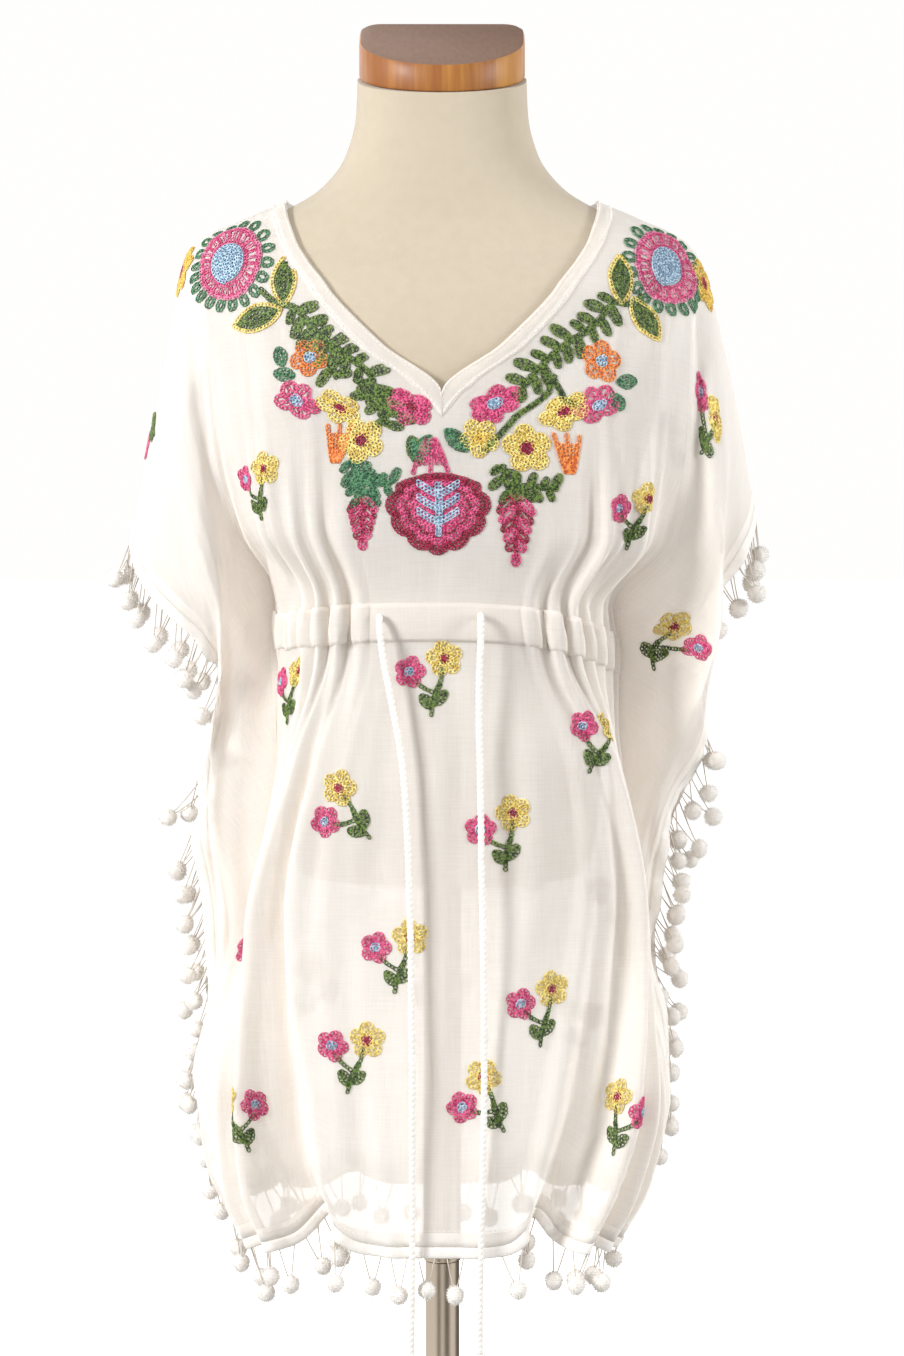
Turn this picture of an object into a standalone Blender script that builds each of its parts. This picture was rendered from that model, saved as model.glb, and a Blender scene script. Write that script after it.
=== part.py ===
"""A short-sleeve kaftan blouse with a drawstring waist, worn by a limbless dress form on a stand.

Metres, +Z up, the front of the blouse towards -Y, the origin under the middle of the base.
The tables are in millimetres. A place on a panel is (across, down): across runs from 0 at the
neckline or the centre line, over 1 at the side seam, to 2 at the free edge, and down is the distance
below the shoulder line in the flat cut. Side is -1 on the viewer's left and +1 on the right.
"""

import math
from typing import NamedTuple

import bmesh
import bpy
import numpy as np
from mathutils import Vector
from mathutils.bvhtree import BVHTree

MM = 0.001

# Cloth and trim
CLOTH = 1.6
CASING_CLOTH = 1.2
CASING_GAP = 0.8
BINDING_CLOTH = 2.2
SEAM_GAP = 0.8
HEM_DOWN = 645.0
CASING_TOP, CASING_FOOT = 256.0, 279.0
BRAID_WIDTH = 6.0
BRAID_THICK = 2.0
FORM_CLEARANCE = 2.8
SHOULDER_SPLIT = 0.25
SEAM_SPLIT = 1.2

# Gathers on the drawstring: a column of the grid falls on each crest and each valley
BODY_COLUMNS = (0, 0.1, 0.2, 0.25, 0.3, 0.35, 0.4, 0.45, 0.5, 0.55, 0.6, 0.65, 0.7, 0.75, 0.8, 0.85,
                0.9, 0.95, 1)
FLANGE_COLUMNS = (1.25, 1.5, 1.75, 2)
GATHER_SPACING = 0.1
GATHER_DEPTH = 2.2
GATHER_ABOVE, GATHER_BELOW = 34.0, 52.0
FLANGE_WAVE_DEPTH, FLANGE_WAVE_LENGTH = 2.4, 84.0
LOW_ROWS = (190, 213, 235, CASING_TOP, CASING_FOOT, 302, 334, 374, 420, 468, 516, 562, 606, HEM_DOWN)
ROW_DOWNS = {
    "front": (0, 8, 20, 38, 60, 84, 110, 147, 168, *LOW_ROWS),
    "back": (0, 10, 19, 27.5, 34.2, 38, 58, 84, 110, 138, 165, *LOW_ROWS),
}

# Pompoms on the braid
POMPOM_RADIUS = 5.8
POMPOMS_PER_PANEL = 50
POMPOM_SPACE = 12.6
CLOTH_SPACE = 8.2
CORD_SPACE = 8.6
THREAD_WIDTH = 1.3
THREAD_SPACE = 3.2
BALL_TO_THREAD = 7.0
THREAD_LENGTHS = (18.0, 21.0, 24.0, 15.5, 27.0)
THREAD_LEANS = (0.75, 1.2, 0.4, 2.0)
FIRST_POMPOM = {"front": 0.3, "back": 0.7}

# Stand
BASE_RADIUS, BASE_THICK, HUB_RADIUS, HUB_TOP = 150.0, 8.0, 19.0, 26.0
LOWER_POLE_RADIUS, UPPER_POLE_RADIUS, POLE_STEP_Z = 10.5, 11.6, 238.0
SOCKET_RADIUS, SOCKET_THICK = 34.0, 7.0
POLE_SIDES = 20
MEETING_GAP = 0.3

# Dress form
FORM_ROUNDNESS = 2.3
NECK_TILT_FROM, NECK_TILT = 925.0, 0.2
CAP_HALF_WIDTH, CAP_FRONT, CAP_BACK = 50.0, 47.0, 33.0
CAP_FRONT_THICK, CAP_SLOPE = 17.0, 0.14
FORM_SIDES = 26

# Drawstring: the route from the eyelet down the front of the skirt to the hanging end
CORD_DIAMETER = 4.2
CORD_SIDES_LEVEL = 2
CORD_STEP = 2.95 * CORD_DIAMETER
END_RADIUS, END_LENGTH = 5.8, 24.0
CORD_BEND = 14.0
LEFT_ROUTE = ((-37, -82.5, 644.5), (-37, -85.4, 644.3), (-37, -87.8, 642.6), (-36.8, -89.2, 639),
              (-36.4, -90, 634),
              (-34.5, -91.5, 620), (-31.5, -94, 604), (-27.5, -97, 584),
              (-23.5, -99.5, 560), (-21, -102, 530), (-19.5, -104.5, 495), (-18.5, -107, 455),
              (-18, -109.5, 410), (-17.5, -112, 360), (-17.5, -113.5, 310), (-17.5, -114.5, 265),
              (-18, -115, 225), (-18.5, -115, 190))
RIGHT_ROUTE = ((23, -85.05, 645.5), (23, -88, 645.3), (23, -90.6, 643.6), (23, -92, 640), (23, -92.6, 635),
               (22.6, -93.8, 621), (22, -95.8, 605), (22, -97.6, 585),
               (22.5, -99.5, 560), (23, -102, 530), (23.5, -104.5, 495), (24.5, -107, 455),
               (25, -109.5, 410), (25, -112, 360), (24, -113.5, 310), (23, -114.5, 265),
               (22.5, -115, 235), (22.5, -115, 208))


class FormRing(NamedTuple):
    """A level section of the dress form."""

    z: float
    half_width: float
    front: float
    back: float


FORM_RINGS = (
    FormRing(481, 87, 65, 64),
    FormRing(497, 93, 70, 68),
    FormRing(560, 98, 73, 71),
    FormRing(630, 97, 72, 70),
    FormRing(700, 113, 80, 76),
    FormRing(760, 129, 86, 80),
    FormRing(800, 137, 86, 80),
    FormRing(835, 146, 79, 72),
    FormRing(852, 149, 67, 61),
    FormRing(863, 143, 57, 53),
    FormRing(874, 120, 52, 49),
    FormRing(885, 94, 50, 46),
    FormRing(898, 73, 49, 43),
    FormRing(918, 58, 48, 38),
    FormRing(942, 52, 47, 34),
    FormRing(963, 51, 47, 33),
)


class Level(NamedTuple):
    """One level down the cut: where the inner end of its rows lies on the front and on the back."""

    down: float
    front_x: float
    front_y: float
    front_z: float
    back_y: float
    back_z: float


LEVELS = (
    Level(0, 93, 0, 890, 0, 890),
    Level(28, 87, -46, 867, 55, 869),
    Level(62, 66, -72, 837, 72, 836),
    Level(98, 35, -86, 806, 81, 801),
    Level(132, 0, -91, 777, 83, 768),
    Level(209, 0, -90, 700, 82, 698),
    Level(254, 0, -84, 655, 77, 655),
    Level(281, 0, -83, 628, 76, 628),
    Level(353, 0, -92, 556, 84, 556),
    Level(454, 0, -98, 455, 91, 455),
    Level(559, 0, -104, 350, 97, 350),
    Level(609, 0, -107, 300, 100, 300),
    Level(645, 0, -109, 264, 101, 264),
)


class Reach(NamedTuple):
    """The outer stations of one level on one side of the front: the fold of the body, the side
    seam or armhole line, the belly of the sleeve or side flange, and its free edge."""

    fold_x: float
    fold_y: float
    seam_x: float
    seam_y: float
    seam_z: float
    belly_x: float
    belly_y: float
    edge_x: float
    edge_y: float
    edge_z: float


REACHES = {
    -1: (
        Reach(120, 0, 151, 0, 862, 172, 0, 190, 0, 684),
        Reach(117, -32, 150, -22, 850, 171, -15, 186, -14, 670),
        Reach(110, -58, 147, -38, 826, 167, -27, 175, -26, 653),
        Reach(99, -73, 143, -44, 793, 158, -38, 160, -30, 638),
        Reach(93, -80, 138, -42, 754, 146, -44, 143, -24, 622),
        Reach(88, -77, 122, -24, 690, 133, -34, 136, -9, 600),
        Reach(72, -67, 102, 0, 650, 133, -24, 137, -4, 574),
        Reach(72, -66, 102, 0, 623, 138, -16, 142, -2, 548),
        Reach(90, -56, 99, 0, 553, 140, -6, 149, 1, 504),
        Reach(118, -56, 103, 0, 452, 126, -2, 145, 1, 432),
        Reach(124, -78, 138, -48, 350, 147, -34, 150, -18, 342),
        Reach(120, -84, 134, -58, 302, 142, -44, 144, -28, 306),
        Reach(104, -88, 118, -66, 265, 126, -52, 131, -36, 281),
    ),
    1: (
        Reach(120, 0, 151, 0, 862, 176, 0, 191, 0, 699),
        Reach(118, -32, 152, -22, 850, 176, -16, 188, -14, 688),
        Reach(111, -58, 151, -42, 824, 174, -32, 180, -24, 674),
        Reach(101, -75, 150, -50, 790, 170, -44, 168, -20, 655),
        Reach(97, -82, 148, -50, 748, 168, -50, 160, -14, 634),
        Reach(98, -78, 138, -34, 684, 168, -44, 158, -6, 602),
        Reach(78, -67, 108, 0, 641, 160, -34, 160, -4, 570),
        Reach(80, -65, 108, 0, 612, 152, -24, 155, -3, 548),
        Reach(106, -60, 104, 0, 545, 128, -10, 134, -4, 494),
        Reach(126, -54, 107, 0, 450, 121, -4, 131, 0, 440),
        Reach(122, -82, 132, -54, 350, 138, -38, 138, -20, 350),
        Reach(108, -90, 122, -64, 300, 127, -48, 126, -30, 304),
        Reach(90, -94, 102, -74, 266, 109, -60, 114, -42, 280),
    ),
}
# How far the back flange stands behind the mirror of the front one, level by level
BACK_FLANGE_SET = (0, 0, 0, 0, 4, 8, 10, 12, 15, 16, 4, 0, 0)


class Fold(NamedTuple):
    """A soft valley or ridge that runs down a panel: its depth is negative for a valley."""

    panel: str
    side: int
    across_top: float
    across_low: float
    width: float
    depth: float
    start: float
    full: float
    fade: float


FOLDS = (
    Fold("front", -1, 0.40, 0.29, 0.075, -26, 300, 620, 990),
    Fold("front", 1, 0.34, 0.27, 0.070, -25, 300, 620, 990),
    Fold("front", -1, 0.62, 0.60, 0.070, -8, 300, 560, 990),
    Fold("front", 1, 0.55, 0.56, 0.065, -10, 290, 520, 990),
    Fold("front", 1, 0.80, 0.78, 0.060, -6, 290, 480, 990),
    Fold("front", -1, 0.16, 0.17, 0.050, -3, 300, 420, 700),
    Fold("front", 1, 1.10, 1.16, 0.090, -7, 10, 70, 190),
    Fold("front", -1, 1.12, 1.16, 0.090, -4, 10, 70, 190),
    Fold("front", 1, 0.70, 0.48, 0.070, 5, 110, 190, 262),
    Fold("front", -1, 0.66, 0.52, 0.070, 4, 130, 200, 262),
    Fold("back", -1, 0.26, 0.24, 0.075, -17, 290, 600, 990),
    Fold("back", 1, 0.30, 0.26, 0.075, -18, 290, 600, 990),
    Fold("back", -1, 0.58, 0.56, 0.070, -13, 290, 580, 990),
    Fold("back", 1, 0.62, 0.60, 0.070, -12, 290, 580, 990),
    Fold("back", -1, 0.80, 0.80, 0.060, -6, 290, 480, 990),
    Fold("back", 1, 1.10, 1.16, 0.090, -6, 10, 70, 190),
    Fold("back", -1, 1.10, 1.16, 0.090, -6, 10, 70, 190),
)

# The V of the front, and the shallow curve of the back: half width and drop, at the binding's
# inner edge and at the edge of the panel under it
V_DOWN, V_FOOT = 132.0, 147.0
V_BINDING_WIDTHS = ((0, 10.3), (62, 11.5), (98, 14.5), (126, 15.5), (V_FOOT, 0))
NAPE_INNER = (93.0, 28.0)
NAPE_OUTER = (103.3, 38.0)
NECK_DOWN = {"front": V_DOWN, "back": NAPE_INNER[1]}
BINDING_GAP = 0.5
OUTWARD = {"front": 1, "back": -1}

COLOURS = {
    "cloth": ((0.93, 0.90, 0.86), 0.85, 0.0),
    "trim": ((0.95, 0.92, 0.86), 0.9, 0.0),
    "cord": ((0.93, 0.91, 0.88), 0.7, 0.0),
    "jersey": ((0.78, 0.72, 0.61), 0.9, 0.0),
    "wood": ((0.63, 0.38, 0.17), 0.3, 0.0),
    "steel": ((0.62, 0.58, 0.53), 0.25, 1.0),
}


def clear_scene():
    """Removes every object of the startup scene."""
    for old in list(bpy.data.objects):
        bpy.data.objects.remove(old, do_unlink=True)


def material(name):
    """The material of that name, made once."""
    found = bpy.data.materials.get(name)
    if found:
        return found
    colour, roughness, metallic = COLOURS[name]
    made = bpy.data.materials.new(name)
    made.use_nodes = True
    shader = made.node_tree.nodes["Principled BSDF"]
    shader.inputs["Base Color"].default_value = (*colour, 1.0)
    shader.inputs["Roughness"].default_value = roughness
    shader.inputs["Metallic"].default_value = metallic
    return made


def place(name, mesh, finish):
    """An object of that mesh in the blouse's collection."""
    made = bpy.data.objects.new(name, mesh)
    made.data.materials.append(material(finish))
    bpy.data.collections["kaftan_blouse"].objects.link(made)
    return made


def mesh_of(name, points, faces):
    """A mesh from points in millimetres."""
    mesh = bpy.data.meshes.new(name)
    mesh.from_pydata((np.asarray(points) * MM).tolist(), [], faces)
    mesh.validate()
    return mesh


def slopes(at, values, flat_start=False):
    """Slopes at the points of a table that never overshoot it (monotone cubic)."""
    step = np.diff(at)
    rise = np.diff(values) / step
    inner = np.zeros(len(rise) - 1)
    same = rise[:-1] * rise[1:] > 0
    w1, w2 = 2 * step[1:] + step[:-1], step[1:] + 2 * step[:-1]
    inner[same] = ((w1 + w2) / (w1 / np.where(same, rise[:-1], 1) + w2 / np.where(same, rise[1:], 1)))[same]
    first = 0.0 if flat_start else rise[0]
    return np.concatenate([[first], inner, [rise[-1]]])


def hermite(at, values, tangents, x):
    """The cubic through a table's points with those tangents, read at x."""
    i = np.clip(np.searchsorted(at, x, side="right") - 1, 0, len(at) - 2)
    step = at[i + 1] - at[i]
    t = (x - at[i]) / step
    a, b = 2 * t**3 - 3 * t**2 + 1, t**3 - 2 * t**2 + t
    c, d = -2 * t**3 + 3 * t**2, t**3 - t**2
    return a * values[i] + b * step * tangents[i] + c * values[i + 1] + d * step * tangents[i + 1]


def read_column(rows, column, down, flat_start=False):
    """A table's column read at distances down the cut."""
    at = np.array([level.down for level in LEVELS], float)
    values = np.array([getattr(row, column) for row in rows], float)
    return hermite(at, values, slopes(at, values, flat_start), down)


def smooth(low, high, x):
    """A soft step from 0 at low to 1 at high."""
    t = np.clip((x - low) / (high - low), 0, 1)
    return t * t * (3 - 2 * t)


def form_field(points):
    """How far outside the dress form's section each point is, as a share of the section."""
    at = np.array([ring.z for ring in FORM_RINGS], float)
    z = np.clip(points[..., 2], at[0], at[-1])

    def read(column):
        values = np.array([getattr(ring, column) for ring in FORM_RINGS], float)
        return hermite(at, values, slopes(at, values), z)

    depth = np.where(points[..., 1] < 0, read("front"), read("back"))
    across = np.abs(points[..., 0]) / read("half_width")
    through = np.abs(points[..., 1]) / depth
    return (across**FORM_ROUNDNESS + through**FORM_ROUNDNESS) ** (1 / FORM_ROUNDNESS) - 1


def clear_of_form(points):
    """The points, moved out to where the cloth clears the dress form."""
    moved = points.copy()
    half_step = 0.5 * np.eye(3)
    for _ in range(5):
        value = form_field(moved)
        slope = np.stack([form_field(moved + h) - form_field(moved - h) for h in half_step], axis=-1)
        steep = np.maximum(np.linalg.norm(slope, axis=-1), 1e-6)
        short = np.maximum(FORM_CLEARANCE - value / steep, 0)
        covered = (moved[..., 2] > FORM_RINGS[0].z - 12) & (short > 0)
        moved += np.where(covered, np.minimum(short, 12), 0)[..., None] * slope / steep[..., None]
    return moved


def nape(size, down):
    """Half the width of the back neckline at a distance down the cut."""
    half_width, drop = size
    return half_width * np.sqrt(np.maximum(1 - (down / drop) ** 2, 0))


def base_surface(panel, side, across, down):
    """The panel before its folds: points for arrays of across and down, in millimetres."""
    rows = REACHES[side]
    sign = OUTWARD[panel]
    split = SHOULDER_SPLIT * (1 - smooth(0, 20, down))

    def reach(column):
        return read_column(rows, column, down, flat_start=not column.endswith("_y"))

    set_back = hermite(
        np.array([level.down for level in LEVELS], float),
        np.array(BACK_FLANGE_SET, float),
        np.zeros(len(LEVELS)),
        down,
    ) * (panel == "back")
    inner_x = read_column(LEVELS, "front_x", down) if panel == "front" else nape(NAPE_INNER, down)
    inner_y = read_column(LEVELS, f"{panel}_y", down) * sign
    inner_z = read_column(LEVELS, f"{panel}_z", down)
    at_seam = smooth(180, 240, down) * (1 - smooth(470, 545, down))
    stations_x = [inner_x, reach("fold_x"), reach("seam_x"), reach("belly_x"), reach("edge_x")]
    stations_y = [
        inner_y - split,
        reach("fold_y") - split,
        reach("seam_y") - split - SEAM_SPLIT * at_seam,
        reach("belly_y") - split - 0.6 * set_back,
        reach("edge_y") - split - set_back,
    ]
    seam_z, edge_z = reach("seam_z"), reach("edge_z")
    stations_z = [inner_z, 0.6 * inner_z + 0.4 * seam_z, seam_z, 0.5 * (seam_z + edge_z), edge_z]
    closed = smooth(NECK_DOWN[panel] - 4, NECK_DOWN[panel] + 22, down)
    found = []
    for axis, stations in enumerate((stations_x, stations_y, stations_z)):
        steps = [2 * (b - a) for a, b in zip(stations, stations[1:])]
        tangents = [steps[0] * (1 - closed) + (2 * stations[1] * closed if axis == 0 else 0)]
        for before, after in zip(steps, steps[1:]):
            harmonic = 2 * before * after / np.where(before + after == 0, 1, before + after)
            tangents.append(np.where(before * after > 0, harmonic, 0))
        tangents.append(steps[-1])
        low = np.clip((across * 2).astype(int), 0, 3)
        pick = [np.choose(low, s[:-1]) for s in (stations + [None], tangents + [None])]
        pick += [np.choose(low, s) for s in (stations[1:], tangents[1:])]
        t = across * 2 - low
        found.append(
            (2 * t**3 - 3 * t**2 + 1) * pick[0]
            + (t**3 - 2 * t**2 + t) * 0.5 * pick[1]
            + (-2 * t**3 + 3 * t**2) * pick[2]
            + (t**3 - t**2) * 0.5 * pick[3]
        )
    x, y, z = found
    return np.stack([side * x, sign * y, z], axis=-1)


def relief(panel, side, across, down):
    """How far the folds and gathers lift the cloth, in millimetres."""
    above = np.exp(-np.maximum(CASING_TOP - down, 0) / GATHER_ABOVE)
    below = np.exp(-np.maximum(down - CASING_FOOT, 0) / GATHER_BELOW)
    gathered = smooth(0.24, 0.36, across) * (1 - smooth(0.93, 1.0, across))
    wave = np.cos(2 * math.pi * across / GATHER_SPACING)
    lift = GATHER_DEPTH * above * below * gathered * wave
    for fold in FOLDS:
        if (fold.panel, fold.side) == (panel, side):
            share = smooth(fold.start, HEM_DOWN, down)
            centre = fold.across_top + (fold.across_low - fold.across_top) * share
            strength = smooth(fold.start, fold.full, down)
            strength = strength * (1 - smooth(fold.fade - 60, fold.fade, down))
            lift = lift + fold.depth * strength * np.exp(-(((across - centre) / fold.width) ** 2))
    rippled = smooth(1.45, 2.0, across) * smooth(180, 280, down) * (1 - smooth(520, 600, down))
    wave = np.sin(2 * math.pi * down / FLANGE_WAVE_LENGTH + side)
    return lift + FLANGE_WAVE_DEPTH * rippled * wave


def facing(shape, panel, side, across, down):
    """Outward normals of a surface given as a function of a place."""
    step_a, step_d = 0.01, 1.5
    low_a, high_a = np.clip(across - step_a, 0, 2), np.clip(across + step_a, 0, 2)
    low_d, high_d = np.clip(down - step_d, 0, HEM_DOWN), np.clip(down + step_d, 0, HEM_DOWN)
    along = shape(panel, side, high_a, down) - shape(panel, side, low_a, down)
    fall = shape(panel, side, across, high_d) - shape(panel, side, across, low_d)
    out = np.cross(fall, along) * side * OUTWARD[panel]
    return out / np.maximum(np.linalg.norm(out, axis=-1), 1e-9)[..., None]


def middle_surface(panel, side, across, down):
    """Points on the panel's middle surface, with its folds, clear of the dress form."""
    out = facing(base_surface, panel, side, across, down)
    points = base_surface(panel, side, across, down) + out * relief(panel, side, across, down)[..., None]
    return clear_of_form(points)


def surface(panel, side, across, down, lift=0.0):
    """Points on the panel's middle surface, or lifted off it, in millimetres."""
    across, down = np.broadcast_arrays(np.asarray(across, float), np.asarray(down, float))
    points = middle_surface(panel, side, across, down)
    return points + facing(middle_surface, panel, side, across, down) * lift if lift else points


def per_unit(panel, side, across, down, axis):
    """Millimetres of cloth for one unit of across, or of down, at a place."""
    step = (0.02, 0.0) if axis == "across" else (0.0, 2.0)
    a = np.clip(across - step[0], 0, 2), np.clip(across + step[0], 0, 2)
    d = np.clip(down - step[1], 0, HEM_DOWN), np.clip(down + step[1], 0, HEM_DOWN)
    ends = [base_surface(panel, side, np.asarray(x, float), np.asarray(y, float)) for x, y in zip(a, d)]
    width = (a[1] - a[0]) if axis == "across" else (d[1] - d[0])
    return np.linalg.norm(ends[1] - ends[0], axis=-1) / width


def inner_limit(panel, side, down, gap=0.0):
    """Where the panel starts across: the binding takes the cloth at the neckline."""
    if panel == "front":
        at, widths = np.array(V_BINDING_WIDTHS, float).T
        width = np.interp(down, at, widths)
    else:
        width = nape(NAPE_OUTER, down) - nape(NAPE_INNER, down)
    width = np.maximum(width - gap, 0)
    return width / per_unit(panel, side, np.full_like(down, 0.03), down, "across")


def grid_places(panel, side, room):
    """The panel's grid of places, that many millimetres short of its free edge all round."""
    across, down = np.meshgrid(np.array(BODY_COLUMNS + FLANGE_COLUMNS), np.array(ROW_DOWNS[panel], float))
    short = room / per_unit(panel, side, across[-1], down[-1] - 2, "down")
    down = down - smooth(560, HEM_DOWN, down) * short[None, :]
    first = inner_limit(panel, side, down)
    last = 2 - room / per_unit(panel, side, np.full_like(down, 1.98), down, "across")
    body = first + (1 - first) * across
    return np.where(across <= 1, body, 1 + (across - 1) * (last - 1)), down


def panel_points(panel, side, lift=0.0):
    """The grid of one half of a panel: rows down, columns out from the inner end."""
    return surface(panel, side, *grid_places(panel, side, BRAID_WIDTH + SEAM_GAP), lift)


def make_panel(panel):
    """A whole front or back: two halves sewn as one cloth down the centre line."""
    left, right = (panel_points(panel, side) for side in (-1, 1))
    rows = left.shape[0]
    points, index = [], {}
    for side, half in ((-1, left), (1, right)):
        for r in range(rows):
            for c in range(half.shape[1]):
                meets = c == 0 and np.linalg.norm(left[r, 0] - right[r, 0]) < 0.6
                if meets and side == 1:
                    index[side, r, c] = index[-1, r, 0]
                    continue
                place_at = (left[r, 0] + right[r, 0]) / 2 if meets else half[r, c]
                index[side, r, c] = len(points)
                points.append(place_at)
    faces = []
    for side in (-1, 1):
        for r in range(rows - 1):
            for c in range(left.shape[1] - 1):
                turn = ((r, c), (r + 1, c), (r + 1, c + 1), (r, c + 1))
                ring = [index[side, *at] for at in turn]
                faces.append(ring if side * OUTWARD[panel] > 0 else ring[::-1])
    made = place(f"{panel}_panel", mesh_of(panel, points, faces), "cloth")
    wall(made, CLOTH)
    return made


def wall(made, thickness):
    """Gives an open surface its thickness, half on each side."""
    solidify = made.modifiers.new("wall", "SOLIDIFY")
    solidify.thickness = thickness * MM
    solidify.offset = 0.0


def make_casing(panel):
    """The drawstring casing: a strip laid over the gathers from side seam to side seam."""
    lift = CLOTH / 2 + CASING_CLOTH / 2 + CASING_GAP
    half = np.array(BODY_COLUMNS)
    half[-1] = 0.985
    across, down = np.meshgrid(half, np.array([CASING_TOP, CASING_FOOT]))
    halves = [surface(panel, side, across, down, lift) for side in (-1, 1)]
    grid = np.concatenate([halves[0][:, ::-1], halves[1][:, 1:]], axis=1)
    rows, columns = grid.shape[:2]
    faces = []
    for r in range(rows - 1):
        for c in range(columns - 1):
            a = r * columns + c
            ring = [a, a + columns, a + columns + 1, a + 1]
            faces.append(ring if OUTWARD[panel] > 0 else ring[::-1])
    made = place(f"{panel}_casing", mesh_of("casing", grid.reshape(-1, 3), faces), "cloth")
    wall(made, CASING_CLOTH)


def loft_loop(name, sections, finish):
    """A closed hoop through sections of four corners each."""
    count = len(sections)
    points = np.concatenate(sections)
    faces = [
        [4 * k + c, 4 * k + (c + 1) % 4, 4 * ((k + 1) % count) + (c + 1) % 4, 4 * ((k + 1) % count) + c]
        for k in range(count)
        for c in range(4)
    ]
    mesh = mesh_of(name, points, faces)
    face_out(mesh)
    return place(name, mesh, finish)


def face_out(mesh):
    """Turns a closed mesh's faces outwards."""
    shape = bmesh.new()
    shape.from_mesh(mesh)
    bmesh.ops.recalc_face_normals(shape, faces=shape.faces)
    shape.to_mesh(mesh)
    shape.free()


def binding_sections(panel, side):
    """Sections of the neck binding from the shoulder to the centre of one half: its outer edge
    keeps to the panel's own rows, so that the two run side by side."""
    foot = V_FOOT if panel == "front" else NAPE_OUTER[1]
    outer_down = np.array([d for d in ROW_DOWNS[panel] if d < foot] + [foot - BINDING_GAP])
    outer_down[0] = 1.0
    outer = inner_limit(panel, side, outer_down, gap=BINDING_GAP)
    outer[-1] = 0
    inner_down = outer_down * NECK_DOWN[panel] / outer_down[-1]
    ends = [(np.zeros(len(outer)), inner_down), (outer, outer_down)]
    thick = BINDING_CLOTH / 2
    walls = [surface(panel, side, a, d, lift) for a, d in ends for lift in (thick, -thick + 0.5)]
    return [np.array([walls[0][k], walls[1][k], walls[3][k], walls[2][k]]) for k in range(len(outer))]


def make_binding():
    """The bias binding round the whole neckline, with its point at the foot of the V."""
    front = {side: binding_sections("front", side) for side in (-1, 1)}
    back = {side: binding_sections("back", side) for side in (-1, 1)}
    tip = [(front[-1][-1] + front[1][-1]) / 2]
    nape = [(back[-1][-1] + back[1][-1]) / 2]
    ring = tip + front[-1][-2::-1] + back[-1][:-1] + nape + back[1][-2::-1] + front[1][:-1]
    loft_loop("neck_binding", ring, "cloth")


def lengths(points):
    """Distance along a line of points, from its start."""
    return np.concatenate([[0], np.cumsum(np.linalg.norm(np.diff(points, axis=0), axis=1))])


def unit(vectors):
    """The vectors at length one."""
    return vectors / np.maximum(np.linalg.norm(vectors, axis=-1), 1e-9)[..., None]


def border(panel):
    """The panel's free edge from one shoulder round the hem to the other: its corners, the way out
    of the cloth at each, and the way up off the cloth. It follows the panel's own facets, so the
    braid and the cloth run side by side."""
    corners, ways = [], []
    for side in (-1, 1):
        grid = panel_points(panel, side)
        out_side, out_hem = unit(grid[:, -1] - grid[:, -2]), unit(grid[-1] - grid[-2])
        out_side[-1] = unit(out_side[-1] + out_hem[-1])
        half = [np.concatenate([grid[:, -1], grid[-1, -2::-1]]), np.concatenate([out_side, out_hem[-2::-1]])]
        corners.append(half[0] if side < 0 else half[0][-2::-1])
        ways.append(half[1] if side < 0 else half[1][-2::-1])
    corners, ways = np.concatenate(corners), np.concatenate(ways)
    run = unit(np.gradient(corners, axis=0))
    ways = unit(ways - (ways * run).sum(axis=1)[:, None] * run)
    ways[[0, -1], 1] = 0
    up = np.cross(run, ways) * OUTWARD[panel]
    up[[0, -1], 1] = 0
    return corners, ways, unit(up)


def grid_faces(rows, columns, first):
    """Quads of a grid of points stored row by row."""
    return [
        [first + r * columns + c, first + (r + 1) * columns + c,
         first + (r + 1) * columns + c + 1, first + r * columns + c + 1]
        for r in range(rows - 1)
        for c in range(columns - 1)
    ]


class Neighbours:
    """What a pompom has to hang clear of: both panels, the cords and the other pompoms."""

    def __init__(self):
        self.cloth = {}
        for panel in OUTWARD:
            points, faces = [], []
            corners, ways, _ = border(panel)
            far = SEAM_GAP + BRAID_WIDTH
            grids = [panel_points(panel, side) for side in (-1, 1)]
            for grid in [*grids, np.stack([corners, corners + ways * far])]:
                faces += grid_faces(*grid.shape[:2], len(points))
                points += [Vector(p) for p in grid.reshape(-1, 3)]
            self.cloth[panel] = BVHTree.FromPolygons(points, faces)
        self.cords = np.concatenate([smooth_route(route, 4.0) for route in (LEFT_ROUTE, RIGHT_ROUTE)])
        self.balls = np.full((1, 3), 1e6)
        self.threads = np.full((1, 3), 1e6)

    def off_cloth(self, panel, points):
        """The least distance from a panel's middle surface to any of the points."""
        return min(self.cloth[panel].find_nearest(Vector(p))[3] for p in points)

    def clear(self, panel, thread, middle):
        """Whether a pompom on that thread touches nothing."""

        def apart(points, from_points):
            return np.linalg.norm(points[:, None] - from_points[None], axis=-1).min()

        ball = middle[None]
        return (
            min(self.off_cloth(other, ball) for other in OUTWARD) > CLOTH_SPACE
            and self.off_cloth(panel, thread[3:]) > THREAD_SPACE
            and min(self.off_cloth(other, thread) for other in OUTWARD if other != panel) > THREAD_SPACE
            and apart(ball, self.balls) > POMPOM_SPACE
            and apart(ball, self.cords) > CORD_SPACE
            and apart(ball, self.threads) > BALL_TO_THREAD
            and apart(thread, self.balls) > BALL_TO_THREAD
            and apart(thread, self.threads) > THREAD_SPACE
        )

    def hang(self, panel, root, outward):
        """The middle of the first pompom below a root that touches nothing, or None."""
        for lean in THREAD_LEANS:
            for length in THREAD_LENGTHS:
                way = outward * lean + np.array([0, 0, -1.0])
                middle = root + way / np.linalg.norm(way) * length
                thread = root + np.linspace(0, 1, 9)[:, None] * (middle - root)
                if self.clear(panel, thread, middle):
                    self.balls = np.concatenate([self.balls, middle[None]])
                    self.threads = np.concatenate([self.threads, thread])
                    return middle
        return None


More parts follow.
